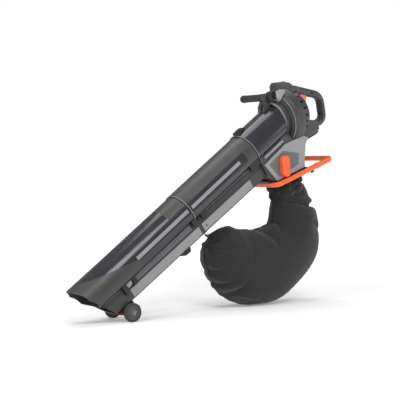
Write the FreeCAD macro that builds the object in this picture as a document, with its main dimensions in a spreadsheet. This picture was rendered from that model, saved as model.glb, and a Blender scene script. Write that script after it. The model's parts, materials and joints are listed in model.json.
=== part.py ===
import FreeCAD, Part
import math
import os
import re

import Sketcher

# Garden vacuum and blower: a long suction tube over a blowing duct, a tilted fan and motor body with a
# rear handle, a side grip, a pair of wheels at the mouth and a cloth collecting bag.
# Three frames are used. "tube" has X along the suction tube and Z square to it, "body" is tilted
# from it about the fan centre, and "ground" stands on the floor below the wheel axle. Y is across.

doc = FreeCAD.newDocument("GardenVacuum")
sheet = doc.addObject("Spreadsheet::Sheet", "Dims")

dims = {
    # attitude
    "tiltAngle": 35.7, "bodyTilt": 16, "bodyAlong": 945, "bodyRise": 8,
    # wheels
    "wheelRadius": 31, "wheelWidth": 16, "wheelTrack": 116, "axleDrop": 119, "axleRadius": 4,
    "axleFit": 0.05, "hubRadius": 9,
    # suction tube
    "tubeRadius": 65, "tubeWall": 3, "tubeFlat": 26, "tubeCorner": 10, "tubeStep": 2.5,
    "mouthTop": -127, "mouthLow": -86, "tubeJoint": 382, "collarJoint": 740, "collarEnd": 905,
    "spigotLength": 24, "stripWidth": 12, "stripRise": 15, "stripThick": 1.5,
    # blowing duct
    "ductTop": 30, "ductHalf": 47, "ductShoulder": 38, "ductWall": 2.5, "ductNozzle": -76,
    "ductEnd": 741, "ductBase": 94, "ductBaseRear": 113, "ductGroove": 50, "ductGrooveRear": 67,
    "panelThick": 2, "panelInset": 9,
    # fan and motor
    "fanRadius": 106, "fanDepth": 44, "fanWall": 3, "inletRadius": 62, "impellerRadius": 92,
    "impellerDepth": 24, "bladeCount": 10, "bladeThick": 2.4, "shaftRadius": 5, "motorRadius": 76,
    "motorEnd": 110, "ventCount": 9, "bearingRadius": 13, "bearingWidth": 8, "rotorRadius": 24,
    "rotorStart": 56, "rotorLength": 24, "statorRadius": 38, "airGap": 0.6,
    # rear handle
    "gripHalf": 15, "gripWide": 17, "gripSkin": 2,
    # outlet housing, selector and bag frame
    "housingHalf": 58, "plateThick": 6, "housingWall": 3, "housingBase": 198, "knobLength": 80,
    "knobWidth": 36, "knobDepth": 20, "knobLean": 14, "selectorAlong": -84, "selectorDrop": 157,
    "selectorRadius": 6, "frameFront": -150, "frameRear": 156, "frameHalf": 81, "frameBar": 13,
    "frameHeight": 18, "frameDrop": 200, "neckFront": -121, "neckRear": 31, "neckHalf": 60,
    # side grip
    "sideGripRadius": 13.5, "sideGripStart": 14, "sideGripLength": 120, "sideGripAlong": 944,
    "sideGripRise": 102.5, "sidePivotAlong": 922, "sidePivotRise": 84, "pinRadius": 4,
    "screwRadius": 3.5, "screwLength": 12,
}
for row, (alias, value) in enumerate(dims.items(), 1):
    sheet.set(f"A{row}", alias)
    sheet.set(f"B{row}", str(value))
    sheet.setAlias(f"B{row}", alias)
doc.recompute()

nodes = []          # every finished sub-part with its frame


# ---- expressions, frames and small helpers

def cells(expression):
    """An expression over aliases, with each alias pointed at the spreadsheet."""
    return re.sub(r"[A-Za-z]\w*", lambda word: "Dims." + word.group(0), str(expression))


def number(expression):
    """The value of an expression over aliases."""
    text = re.sub(r"[A-Za-z]\w*", lambda word: f"({dims[word.group(0)]})", str(expression))
    return FreeCAD.Units.Quantity(text).Value


def vec(x=0.0, y=0.0, z=0.0):
    return FreeCAD.Vector(number(x), number(y), number(z))


def turned(axis, degrees, at=(0, 0, 0)):
    """A turn about an axis through a point."""
    return FreeCAD.Placement(FreeCAD.Vector(), FreeCAD.Rotation(FreeCAD.Vector(*axis), degrees), vec(*at))


def moved(x=0, y=0, z=0):
    return FreeCAD.Placement(vec(x, y, z), FreeCAD.Rotation())


tilt = math.radians(dims["tiltAngle"])
lift = dims["wheelRadius"] + dims["axleDrop"] * math.cos(tilt)
tubeFrame = moved(-dims["axleDrop"] * math.sin(tilt), 0, lift) * turned((0, 1, 0), -dims["tiltAngle"])
bodyFrame = tubeFrame * moved("bodyAlong", 0, "bodyRise") * turned((0, 1, 0), dims["bodyTilt"])
frames = {"ground": moved(), "tube": tubeFrame, "body": bodyFrame}


def bind(item, **sizes):
    for name, expression in sizes.items():
        item.setExpression(name, cells(expression))
    return item


def place(item, x=0, y=0, z=0, axis=(0, 0, 1), degrees=0):
    """Put a primitive at a point given by expressions, turned about an axis."""
    item.Placement = FreeCAD.Placement(vec(x, y, z), FreeCAD.Rotation(FreeCAD.Vector(*axis), degrees))
    for name, expression in (("x", x), ("y", y), ("z", z)):
        if re.search("[A-Za-z]", str(expression)):
            item.setExpression("Placement.Base." + name, cells(expression))
    return item


def node(item, label, frame):
    """Register a finished sub-part under its own label."""
    item.Label = label
    nodes.append((item, frame))
    return item


# ---- primitives and booleans

def box(name, x, y, z, length, width, height):
    item = doc.addObject("Part::Box", name)
    bind(item, Length=length, Width=width, Height=height)
    return place(item, x, y, z)


def rod(name, x, y, z, radius, length, axis="Y"):
    """A cylinder that starts at a point and runs along an axis."""
    item = doc.addObject("Part::Cylinder", name)
    bind(item, Radius=radius, Height=length)
    turn = {"X": ((0, 1, 0), 90), "Y": ((1, 0, 0), -90), "Z": ((0, 0, 1), 0)}[axis]
    return place(item, x, y, z, *turn)


def cut(base, tool, name=None):
    item = doc.addObject("Part::Cut", name or base.Name + "Cut")
    item.Base = base
    item.Tool = tool
    return item


def fuse(name, *pieces):
    item = doc.addObject("Part::MultiFuse", name)
    item.Shapes = list(pieces)
    return item


def common(base, tool, name):
    item = doc.addObject("Part::Common", name)
    item.Base = base
    item.Tool = tool
    return item


def group(name, *pieces):
    """Separate solids kept together as one sub-part."""
    item = doc.addObject("Part::Compound", name)
    item.Links = list(pieces)
    return item


def tube(name, x, y, z, outer, inner, length, axis="Y"):
    shell = rod(name + "Outer", x, y, z, outer, length, axis)
    bore = rod(name + "Bore", x, y, z, inner, length, axis)
    return cut(shell, bore, name)


def rounded(base, radius, choose, name):
    """Round the chosen edges of a finished shape."""
    doc.recompute()
    item = doc.addObject("Part::Fillet", name)
    item.Base = base
    picked = [i for i, edge in enumerate(base.Shape.Edges, 1) if choose(edge)]
    item.Edges = [(i, number(radius), number(radius)) for i in picked]
    return item


def along(axis):
    """Chooses the straight edges that run along an axis."""
    def choose(edge):
        if edge.Curve.TypeId != "Part::GeomLine":
            return False
        return abs(getattr(edge.Curve.Direction, axis)) > 0.999
    return choose


# ---- sketches and bodies

def outline(sketch, points):
    """A closed outline. A point may carry the bow of the stretch that follows it."""
    count = len(points)
    spots = [vec(p[0], p[1]) for p in points]
    for i, point in enumerate(points):
        a = spots[i]
        b = spots[(i + 1) % count]
        if len(point) == 3:
            side = FreeCAD.Vector(b.y - a.y, a.x - b.x, 0).normalize()
            arc = Part.Arc(a, (a + b) / 2 + side * number(point[2]), b)
            sketch.addGeometry(arc, False)
        else:
            sketch.addGeometry(Part.LineSegment(a, b), False)
    for i, point in enumerate(points):
        pair = ends(sketch, i, spots[i])
        following = (i + 1) % count
        after = ends(sketch, following, spots[following])
        sketch.addConstraint(Sketcher.Constraint("Coincident", i, pair[1], following, after[0]))
        for kind, term, value in (("DistanceX", point[0], spots[i].x), ("DistanceY", point[1], spots[i].y)):
            index = sketch.addConstraint(Sketcher.Constraint(kind, -1, 1, i, pair[0], value))
            if re.search("[A-Za-z]", str(term)):
                sketch.setExpression(f"Constraints[{index}]", cells(term))
        if len(point) == 3:
            centre = sketch.getPoint(i, 3)
            chord = spots[(i + 1) % count] - spots[i]
            flat = abs(chord.x) > abs(chord.y)
            kind, value = ("DistanceY", centre.y) if flat else ("DistanceX", centre.x)
            sketch.addConstraint(Sketcher.Constraint(kind, -1, 1, i, 3, value))
    return sketch


def ends(sketch, index, start):
    """Which end of a stretch lies at its start point, and which at its other end."""
    return (1, 2) if (sketch.getPoint(index, 1) - start).Length < 1e-6 else (2, 1)


def ring(sketch, radius):
    """A circle about the sketch's origin."""
    index = sketch.addGeometry(Part.Circle(vec(), FreeCAD.Vector(0, 0, 1), number(radius)), False)
    held = sketch.addConstraint(Sketcher.Constraint("Radius", index, number(radius)))
    sketch.setExpression(f"Constraints[{held}]", cells(radius))
    sketch.addConstraint(Sketcher.Constraint("Coincident", index, 3, -1, 1))
    return sketch


def dSection(sketch, radius, flat, corner):
    """A round tube section with a flat underside and rounded lower corners."""
    big = number(radius)
    small = number(corner)
    depth = number(flat) - small
    reach = math.sqrt((big - small) ** 2 - depth ** 2)
    turn = math.atan2(-depth, reach)
    up = FreeCAD.Vector(0, 0, 1)
    first = sketch.GeometryCount
    left = FreeCAD.Vector(-reach, -depth, 0)
    right = FreeCAD.Vector(reach, -depth, 0)
    drop = FreeCAD.Vector(0, -small, 0)
    pieces = [
        Part.ArcOfCircle(Part.Circle(FreeCAD.Vector(), up, big), turn, math.pi - turn),
        Part.ArcOfCircle(Part.Circle(left, up, small), math.pi - turn, 1.5 * math.pi),
        Part.LineSegment(left + drop, right + drop),
        Part.ArcOfCircle(Part.Circle(right, up, small), 1.5 * math.pi, 2 * math.pi + turn),
    ]
    for piece in pieces:
        sketch.addGeometry(piece, False)
    for i in range(4):
        following = first + (i + 1) % 4
        sketch.addConstraint(Sketcher.Constraint("Tangent", first + i, 2, following, 1))
    sketch.addConstraint(Sketcher.Constraint("Coincident", first, 3, -1, 1))
    sketch.addConstraint(Sketcher.Constraint("Horizontal", first + 2))
    sketch.addConstraint(Sketcher.Constraint("Equal", first + 1, first + 3))
    for kind, places, term in (
        ("Radius", (first,), radius), ("Radius", (first + 1,), corner),
        ("DistanceY", (first + 2, 1, -1, 1), flat),
    ):
        held = sketch.addConstraint(Sketcher.Constraint(kind, *places, number(term)))
        sketch.setExpression(f"Constraints[{held}]", cells(term))
    return sketch


class Bench:
    """One PartDesign body with short calls for the features it is made of."""

    def __init__(self, name):
        self.body = doc.addObject("PartDesign::Body", name)
        self.count = 0

    def sketch(self, role, offset=0):
        self.count += 1
        item = self.body.newObject("Sketcher::SketchObject", f"{self.body.Name}Sketch{self.count}")
        plane = next(f for f in self.body.Origin.OriginFeatures if f.Role == role)
        item.AttachmentSupport = [(plane, "")]
        item.MapMode = "FlatFace"
        if offset != 0:
            item.AttachmentOffset = moved(0, 0, offset)
            item.setExpression("AttachmentOffset.Base.z", cells(offset))
        return item

    def feature(self, kind, profile):
        self.count += 1
        item = self.body.newObject("PartDesign::" + kind, f"{self.body.Name}{kind}{self.count}")
        item.Profile = profile
        profile.Visibility = False
        return item

    def pad(self, profile, length, both=False, back=False):
        item = self.feature("Pad", profile)
        item.setExpression("Length", cells(length))
        item.SideType = "Symmetric" if both else "One side"
        item.Reversed = back
        return item

    def pocket(self, profile, length=None, both=False, back=False):
        item = self.feature("Pocket", profile)
        if length is None:
            item.Type = "ThroughAll"
        else:
            item.setExpression("Length", cells(length))
        item.SideType = "Symmetric" if both else "One side"
        item.Reversed = back
        return item

    def spin(self, profile):
        item = self.feature("Revolution", profile)
        item.ReferenceAxis = (profile, ["H_Axis"])
        item.Angle = 360
        return item

    def polar(self, feature, count):
        axis = next(f for f in self.body.Origin.OriginFeatures if f.Role == "X_Axis")
        item = self.body.newObject("PartDesign::PolarPattern", self.body.Name + "Polar")
        item.Originals = [feature]
        item.Axis = (axis, [""])
        item.setExpression("Occurrences", cells(count))
        item.Angle = 360
        self.body.Tip = item
        return item

    def soften(self, radius, choose):
        """Round the chosen edges of the body as it stands."""
        doc.recompute()
        base = self.body.Tip
        item = self.body.newObject("PartDesign::Fillet", f"{self.body.Name}Soft{self.count}")
        self.count += 1
        picked = [f"Edge{i}" for i, edge in enumerate(base.Shape.Edges, 1) if choose(edge)]
        item.Base = (base, picked)
        item.setExpression("Radius", cells(radius))
        return item


def slab(name, points, half, toNear=0):
    """An outline in X and Z, padded to both sides of the middle plane or of one nearer to -Y."""
    bench = Bench(name)
    bench.pad(outline(bench.sketch("XZ_Plane", toNear), points), f"({half}) * 2", both=True)
    return bench


def inset(points, wall):
    """The outline moved inwards by a wall, for an outline that runs anticlockwise in X and Z."""
    spots = [vec(p[0], p[1]) for p in points]
    count = len(spots)
    inner = []
    for i, spot in enumerate(spots):
        before = (spot - spots[i - 1]).normalize()
        after = (spots[(i + 1) % count] - spot).normalize()
        first = FreeCAD.Vector(-before.y, before.x, 0)
        second = FreeCAD.Vector(-after.y, after.x, 0)
        shift = (first + second) * (number(wall) / (1 + first.dot(second)))
        inner.append((spot.x + shift.x, spot.y + shift.y))
    return inner


def mirrored(item, name):
    twin = doc.addObject("Part::Mirroring", name)
    twin.Source = item
    twin.Normal = (0, 1, 0)
    return twin


def pair(item, name):
    """A piece and its twin on the far side, kept as one sub-part of two solids."""
    return group(name, item, mirrored(item, name + "Twin"))


def inTube(a, b):
    """A point of the body frame in the tube frame's X and Z."""
    spot = (moved("bodyAlong", 0, "bodyRise") * turned((0, 1, 0), dims["bodyTilt"])).multVec(vec(a, 0, b))
    return spot.x, spot.z


def bodyPoint(x, y, z):
    """A point of the tube frame in the body frame."""
    frame = moved("bodyAlong", 0, "bodyRise") * turned((0, 1, 0), dims["bodyTilt"])
    return frame.inverse().multVec(vec(x, y, z))


# ---- suction tube

def suctionTube(name, start, finish, radius, flat, spigot=None):
    """A D-section tube, with a thinner spigot that plugs into the tube before it."""
    bench = Bench(name)
    length = f"({finish}) - ({start})"
    wall = "tubeWall"
    bench.pad(dSection(bench.sketch("YZ_Plane", start), radius, flat, "tubeCorner"), length)
    bore = dSection(bench.sketch("YZ_Plane", start), f"{radius} - {wall}", f"{flat} - {wall}",
                    f"tubeCorner - {wall}")
    bench.pocket(bore, length, back=True)
    if spigot:
        inner = f"{spigot} - {wall} - 0.2"
        low = "tubeFlat - tubeWall - 0.2"
        back = f"({start}) - spigotLength"
        reach = "spigotLength + tubeWall"
        bench.pad(dSection(bench.sketch("YZ_Plane", back), inner, low, "tubeCorner - tubeWall"), reach)
        bore = dSection(bench.sketch("YZ_Plane", back), inner + " - 2.5", low + " - 2.5",
                        "tubeCorner - tubeWall - 2.5")
        bench.pocket(bore, reach, back=True)
    return bench


def lowerTube():
    bench = suctionTube("lower_suction_tube", "mouthTop - 4", "tubeJoint", "tubeRadius", "tubeFlat")
    rim = [
        ("mouthTop - 30", -60), ("mouthLow", -60), ("mouthLow", -28, 6), ("mouthLow - 19", 20, 6),
        ("mouthTop", "tubeRadius + 2"), ("mouthTop", 80), ("mouthTop - 30", 80),
    ]
    bench.pocket(outline(bench.sketch("XZ_Plane"), rim), both=True)
    node(bench.body, "lower_suction_tube", "tube")


def collar():
    bench = suctionTube("suction_collar", "collarJoint", "collarEnd + 60", "tubeRadius + 2 * tubeStep",
                        "tubeFlat + 2", "tubeRadius + tubeStep")
    low = inTube(-24.5, -80)
    high = inTube(-24.5, 110)
    end = [low, (1000, low[1]), (1000, high[1]), high]
    bench.pocket(outline(bench.sketch("XZ_Plane"), end), both=True)
    node(bench.body, "suction_collar", "tube")


def strip(name, start, finish, radius):
    """A pale flat strip on each flank of the suction tube."""
    shell = tube(name + "Shell", start, 0, 0, f"{radius} + stripThick", f"{radius} + 0.05",
                 f"({finish}) - ({start})", "X")
    bar = box(name + "Bar", start, "-90", "stripRise - stripWidth / 2", f"({finish}) - ({start})", "180",
              "stripWidth")
    return common(shell, bar, name)


lowerTube()
upper = suctionTube("upper_suction_tube", "tubeJoint", "collarJoint", "tubeRadius + tubeStep",
                    "tubeFlat + 1",
                    "tubeRadius")
node(upper.body, "upper_suction_tube", "tube")
collar()
key = slab("clipKey", [(37, -47), (58, -44), (59, -30.2), (36, -30.2)], 3, "ductHalf + 4")
strips = [strip("lowerStrip", "115", "373", "tubeRadius"),
          strip("upperStrip", "392", "655", "tubeRadius + tubeStep")]
node(group("trimStrips", *strips, pair(key.body, "clipKeys")), "tube_trim_strips", "tube")


# ---- blowing duct

def ductLevel(front, rear, station):
    """A height of the duct's section, which grows evenly to the rear."""
    return f"({front} + ({rear} - {front}) * (({station}) - ductNozzle) / (ductEnd - ductNozzle))"


def ductSection(name, station, wall):
    groove = ductLevel("ductGroove", "ductGrooveRear", station)
    base = ductLevel("ductBase", "ductBaseRear", station)
    half = [
        (f"ductShoulder - {wall}", f"-ductTop - {wall}"), (f"ductHalf - {wall}", f"-{groove}"),
        (f"ductHalf - {wall} - 2", f"-{groove} - 2"), (f"ductHalf - {wall}", f"-{groove} - 4"),
        (f"ductHalf - {wall}", f"-{base} + 8"), (f"ductHalf - 8 - {wall} / 2", f"-{base} + {wall}"),
    ]
    sketch = doc.addObject("Sketcher::SketchObject", name)
    sketch.Placement = FreeCAD.Placement(vec(station), FreeCAD.Rotation(FreeCAD.Vector(1, 1, 1), 120))
    other = [(f"-({y})", z) for y, z in reversed(half)]
    return outline(sketch, half + other)


def ductLoft(name, start, finish, wall):
    item = doc.addObject("Part::Loft", name)
    item.Sections = [ductSection(name + "Front", start, wall), ductSection(name + "Rear", finish, wall)]
    item.Solid = True
    item.Ruled = True
    return item


def duct(name, start, finish):
    outer = ductLoft(name + "Outer", start, finish, "0")
    inner = ductLoft(name + "Inner", f"({start}) - 1", f"({finish}) + 1", "ductWall")
    return cut(outer, inner, name)


def ductPanel(name, start, finish):
    """A pale panel on each flank of the duct, between its groove and its lower edge."""
    bench = Bench(name + "Near")
    levels = [(ductLevel("ductGroove", "ductGrooveRear", end), ductLevel("ductBase", "ductBaseRear", end))
              for end in (start, finish)]
    points = [
        (start, f"-{levels[0][1]} + panelInset"), (finish, f"-{levels[1][1]} + panelInset"),
        (finish, f"-{levels[1][0]} - 5"), (start, f"-{levels[0][0]} - 5"),
    ]
    bench.pad(outline(bench.sketch("XZ_Plane", "ductHalf + 0.05"), points), "panelThick")
    return pair(bench.body, name)


nozzleCut = slab("nozzleCut", [
    ("ductNozzle - 40", -130), ("ductNozzle + 42", -130), ("ductNozzle + 40", -100), ("ductNozzle", -28),
    ("ductNozzle - 40", -28),
], "ductHalf + 5")
lowerDuct = duct("lowerDuct", "ductNozzle - 2", "398")
node(cut(lowerDuct, nozzleCut.body, "lower_blow_tube"), "lower_blow_tube", "tube")
node(duct("upper_blow_tube", "398.3", "ductEnd"), "upper_blow_tube", "tube")
panels = [ductPanel("lowerPanels", "41", "386"), ductPanel("upperPanels", "402", "668")]
node(group("ductPanels", *panels), "duct_side_panels", "tube")


# ---- clips that tie the two tubes together

def clip(name, spans, low, reach="ductHalf + 9"):
    """A strap between the tubes, with blocks down the duct's flanks."""
    first = spans[0][0]
    last = spans[-1][1]
    plate = box(name + "Plate", first, f"-({reach})", "-ductTop + 0.2", last - first, f"({reach}) * 2",
                "ductTop - tubeFlat - 1.5")
    blocks = []
    for i, (start, finish) in enumerate(spans):
        for side, edge in (("Near", f"-({reach})"), ("Far", "ductHalf + 0.3")):
            blocks.append(box(f"{name}{side}{i}", start, edge, low, finish - start,
                              f"({reach}) - ductHalf - 0.3",
                              f"-tubeFlat - 1.3 - ({low})"))
    return fuse(name, plate, *blocks)


clips = [clip("lowerClip", [(18, 34), (62, 78)], "-54"), clip("middleClip", [(368, 391), (414, 438)],
    "-50"),
         clip("upperClip", [(692, 739.5)], "-50")]

screwSpots = ((402.5, -40), (22.5, -60))
heads = []
for i, (station, rise) in enumerate(screwSpots):
    for side, face in (("Near", "-ductHalf - 6"), ("Far", "ductHalf + 0.5")):
        head = rod(f"clipScrew{side}{i}", station, face, rise, "screwRadius * 1.6", 5.5)
        slotFace = face + " + 4.5" if side == "Far" else face
        slot = box(f"clipScrewSlot{side}{i}", station - 6, slotFace, rise - 0.6, 12, 1, 1.2)
        heads.append(cut(head, slot))
node(group("clip_screws", *heads), "clip_screws", "tube")


# ---- release button of the tube joint

latchBase = box("latchBase", "collarJoint + 1", -13, "tubeRadius + 5.2", 20, 26, 9)
latchSlot = box("latchSlot", "collarJoint", -8, "tubeRadius + 6.3", 23, 16, 20)
node(group("tubeClips", *clips, cut(latchBase, latchSlot)), "tube_clips", "tube")
button = slab("buttonBlock", [
    ("collarJoint - 2", "tubeRadius + 7.4"), ("collarJoint + 50", "tubeRadius + 6"),
    ("collarJoint + 47", "tubeRadius + 10", 2), ("collarJoint + 26", "tubeRadius + 18"),
    ("collarJoint + 2", "tubeRadius + 17"),
], 7.7)
button.soften(1.5, along("y"))
node(button.body, "tube_latch_button", "tube")


# ---- wheels

def wheel(name, middle):
    """A tyre on a hub with a dished face."""
    side = f"({middle}) - wheelWidth / 2"
    tyre = tube(name + "Tyre", 0, side, "-axleDrop", "wheelRadius", "wheelRadius - 6.95", "wheelWidth")
    tyre = rounded(tyre, 2.5, lambda edge: edge.Length > 180, name + "_tyre")
    node(tyre, name + "_tyre", "tube")
    core = rod(name + "Core", 0, f"{side} + 1", "-axleDrop", "wheelRadius - 7", "wheelWidth - 2")
    pieces = [rod(name + "Bore", 0, side, "-axleDrop", "axleRadius + axleFit", "wheelWidth")]
    for face, start in (("Left", side), ("Right", f"({middle}) + wheelWidth / 2 - 2.5")):
        pieces.append(tube(name + "Dish" + face, 0, start, "-axleDrop", "wheelRadius - 10",
                           "hubRadius", 2.5))
    node(cut(core, fuse(name + "Tool", *pieces), name + "_hub"), name + "_hub", "tube")


wheel("near_wheel", "-wheelTrack / 2")
wheel("far_wheel", "wheelTrack / 2")
axle = rod("axleBar", 0, "-wheelTrack / 2 - wheelWidth / 2 - 1", "-axleDrop", "axleRadius",
           "wheelTrack + wheelWidth + 2")
caps = [rod(f"axleCap{i}", 0, y, "-axleDrop", "axleRadius + 2", 2.5)
        for i, y in enumerate(("-wheelTrack / 2 - wheelWidth / 2 - 3.5",
                               "wheelTrack / 2 + wheelWidth / 2 + 1"))]
node(fuse("wheelAxle", axle, *caps), "wheel_axle", "tube")

bracket = slab("bracketBlock", [
    (-38, -96), (-38, -100), (-9, "-axleDrop - 7"), (0, "-axleDrop - 10"), (9, "-axleDrop - 6"), (30, -102),
    (32, -99.2),
], 44)
hollow = box("bracketHollow", -60, -38, -135, 120, 76, 33)
hole = rod("bracketBore", 0, -60, "-axleDrop", "axleRadius", 120)
shape = cut(cut(bracket.body, hollow, "bracketShell"), hole, "bracketBored")
above = ductLoft("bracketClear", "-60", "60", "-0.3")
node(cut(shape, above, "axle_bracket"), "axle_bracket", "tube")


# ---- hook and strap for the bag under the duct

hook = slab("bag_hook", [(278, -103.5), (326, -104.8), (337, -116), (332, -132), (306, -131),
(284, -116)], 15)
notch = box("hookNotch", 300, -7, -134, 44, 14, 18)

lug = slab("strapLug", [(414, -107), (440, -107.6), (434, -118), (420, -118)], 4)
lugHole = rod("lugHole", 427, -10, -114.5, 3.2, 20)
node(group("bagHooks", cut(hook.body, notch), cut(lug.body, lugHole)), "bag_hooks", "tube")

loop = doc.addObject("Part::Torus", "strap_ring")
loop.Radius1 = 12
loop.Radius2 = 1.8
place(loop, 427, 0, -126.5, (0, 1, 0), 90)
node(loop, "strap_ring", "tube")
strap = slab("strapBand", [(424, -142), (427, -143.3), (434, -148.5), (431, -150.5)], 9)
eye = tube("strapEye", 427, -6, -138.5, 5.2, 3.6, 12)
node(fuse("bagStrap", strap.body, eye), "bag_strap", "tube")


# ---- fan housing, in the body frame

def turnedPart(name, profile):
    """A shape turned about the fan axis, from an outline of distance and radius."""
    bench = Bench(name)
    bench.spin(outline(bench.sketch("XZ_Plane"), profile))
    return bench


fanClear = turnedPart("fanClear", [
    (-24.3, 0), ("fanDepth + 2.4", 0), ("fanDepth + 2.4", "fanRadius + 0.4"), (12, "fanRadius + 0.4"),
    (4, "fanRadius - 2"), (-3.3, "fanRadius - 8.6"), (-3.3, "fanRadius - 13.6"),
    (-10.3, "fanRadius - 14.6"),
    (-14.3, "fanRadius - 29.6"), (-24.3, "fanRadius - 31.6"),
])
outletHole = box("outletHole", 4, -40, "-fanRadius - 5", 36, 80, 40)

front = turnedPart("fanFront", [
    (-24, "inletRadius"), (-6, "inletRadius"), (-5, "fanRadius - 18"), (22, "fanRadius - 5"),
    (22, "fanRadius"),
    (12, "fanRadius"), (4, "fanRadius - 2.5"), (-3, "fanRadius - 9"), (-3, "fanRadius - 14"),
    (-10, "fanRadius - 15"), (-14, "fanRadius - 30"), (-24, "fanRadius - 32"),
])
node(cut(front.body, outletHole, "fan_housing_front"), "fan_housing_front", "body")

rear = turnedPart("fanRear", [
    (22.2, "fanRadius - fanWall"), (36, "fanRadius - fanWall"), (41, "fanRadius - 9"), ("fanDepth - 1", 30),
    ("fanDepth - 1", "bearingRadius"), (52, "bearingRadius"), (52, "bearingRadius + 5"),
    ("fanDepth + 2", "bearingRadius + 6"), ("fanDepth + 2", "fanRadius - 3"), ("fanDepth", "fanRadius"),
    (22.2, "fanRadius"),
])
node(cut(rear.body, outletHole, "fan_housing_rear"), "fan_housing_rear", "body")


# ---- fan, shaft and motor

hub = turnedPart("impeller", [
    (6, "shaftRadius"), (30, "shaftRadius"), (30, "impellerRadius"), (28, "impellerRadius"), (26, 22),
    (8, 14), (6, 12),
])
blade = hub.sketch("YZ_Plane", 8)
outline(blade, [("-bladeThick / 2", 13), ("bladeThick / 2", 13),
("bladeThick / 2 + 9", "impellerRadius - 3"),
                ("-bladeThick / 2 + 9", "impellerRadius - 3")])
hub.polar(hub.pad(blade, "impellerDepth - 3"), "bladeCount")
node(hub.body, "impeller", "body")

node(rod("fanShaft", -6, 0, 0, "shaftRadius", 108, "X"), "fan_shaft", "body")
nut = doc.addObject("Part::Prism", "fanNut")
nut.Polygon = 6
nut.Circumradius = 9
nut.Height = 7
place(nut, -3, 0, 0, (0, 1, 0), 90)
nutBore = rod("nutBore", -8, 0, 0, "shaftRadius", 20, "X")
node(cut(nut, nutBore, "impeller_nut"), "impeller_nut", "body")

bearings = [tube(f"bearing{i}", start, 0, 0, "bearingRadius", "shaftRadius + 0.05", "bearingWidth", "X")
            for i, start in enumerate(("fanDepth - 1", "motorEnd - 17"))]
node(group("motorBearings", *bearings), "motor_bearings", "body")

rotor = Bench("motor_rotor")
rotor.pad(ring(rotor.sketch("YZ_Plane", "rotorStart"), "rotorRadius"), "rotorLength")
rotor.pad(ring(rotor.sketch("YZ_Plane", "rotorStart + rotorLength"), 12), 9)
rotor.pocket(ring(rotor.sketch("YZ_Plane", "rotorStart"), "shaftRadius"), 60, back=True)
slotSketch = rotor.sketch("YZ_Plane", "rotorStart")
outline(slotSketch, [(-1, 18), (1, 18), (1, 26), (-1, 26)])
rotor.polar(rotor.pocket(slotSketch, "rotorLength", back=True), 12)
node(rotor.body, "motor_rotor", "body")

stator = tube("stator", "rotorStart", 0, 0, "statorRadius", "rotorRadius + airGap", "rotorLength", "X")
node(stator, "motor_stator", "body")
holder = [tube(f"holderRing{i}", x, 0, 0, "motorRadius - 3.2", inner, 3, "X")
          for i, (x, inner) in enumerate((("66", "statorRadius"), ("motorEnd - 19.2", "bearingRadius")))]
node(group("motor_mounts", *holder), "motor_mounts", "body")
brushes = [box(f"brush{i}", 81, y, -4, 7, 18, 8) for i, y in enumerate(("-12.4 - 18", "12.4"))]
node(group("carbon_brushes", *brushes), "carbon_brushes", "body")

case = turnedPart("motor_housing", [
    ("fanDepth + 2.3", "motorRadius - 3"), ("motorEnd - 16", "motorRadius - 3"),
    ("motorEnd - 3", "motorRadius - 18"),
    ("motorEnd - 3", 0), ("motorEnd", 0), ("motorEnd", "motorRadius - 16"),
    ("motorEnd - 14", "motorRadius"),
    ("fanDepth + 2.3", "motorRadius"),
])
vent = case.sketch("XY_Plane", "motorRadius - 8")
outline(vent, [(56, -3), (88, -3), (88, 3), (56, 3)])
case.polar(case.pocket(vent, back=True), "ventCount * 2")
node(case.body, "motor_housing", "body")


# ---- upper housing over the fan, and the lower housing under the motor

motorClear = rod("motorClear", "fanDepth + 2.3", 0, 0, "motorRadius + 0.3", "motorEnd - fanDepth - 2", "X")
clearAll = fuse("housingClear", fanClear.body, motorClear)

topBlock = slab("topBlock", [
    (46, 60), (117, 60), (114, 84), (104, 95), (89, 112), (46, 127), (30, 130), (18, 120), (14, 98),
], 20)
topBlock.soften(6, lambda edge: along("y")(edge) and edge.BoundBox.ZMin > 105)
topBlock.soften(4, lambda edge: edge.BoundBox.ZMin > 100 and edge.BoundBox.YLength < 8)
dialSlot = box("dialSlot", 47, -17, 96.5, 30, 12, 40)
gripSocket = rod("gripSocket", 102.6, 0, 84.3, "gripWide + 0.4", 60, "X")
gripSocket.Placement.Rotation = FreeCAD.Rotation(FreeCAD.Vector(0, 1, 0), 116.6)
shape = cut(topBlock.body, fuse("topTools", clearAll, dialSlot, gripSocket), "top_housing")
node(shape, "top_housing", "body")

lowBlock = slab("lowBlock", [
    ("fanDepth + 2.8", -113), (140, -107), (163, -101), (163, -64), (140, -52), (110, -40),
    ("fanDepth + 2.8", -40),
], 36)
lowBlock.soften(12, lambda edge: edge.BoundBox.YLength < 1 and edge.BoundBox.ZMax < -95)
lowHollow = box("lowHollow", 60, -28, -102, 80, 56, 60)
node(cut(lowBlock.body, fuse("lowTools", motorClear, lowHollow), "motor_base"), "motor_base", "body")

cover = slab("motor_base_cover", [
    ("fanDepth + 6", -118), (146, -112), (164, -106), (163, -102), (140, -108), ("fanDepth + 6", -113.6),
], 27)
node(cover.body, "motor_base_cover", "body")


# ---- rear handle

def roundedPath(points, radii):
    """Straight runs joined by arcs that touch both, one radius for each inner point."""
    edges = []
    start = points[0]
    for i, radius in enumerate(radii, 1):
        into = (points[i] - points[i - 1]).normalize()
        out = (points[i + 1] - points[i]).normalize()
        half = math.acos(max(-1, min(1, into.dot(out)))) / 2
        reach = radius * math.tan(half)
        first = points[i] - into * reach
        last = points[i] + out * reach
        middle = points[i] + (out - into).normalize() * (radius / math.cos(half) - radius)
        edges += [Part.makeLine(start, first), Part.Arc(first, middle, last).toShape()]
        start = last
    edges.append(Part.makeLine(start, points[-1]))
    return Part.Wire(edges)


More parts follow.
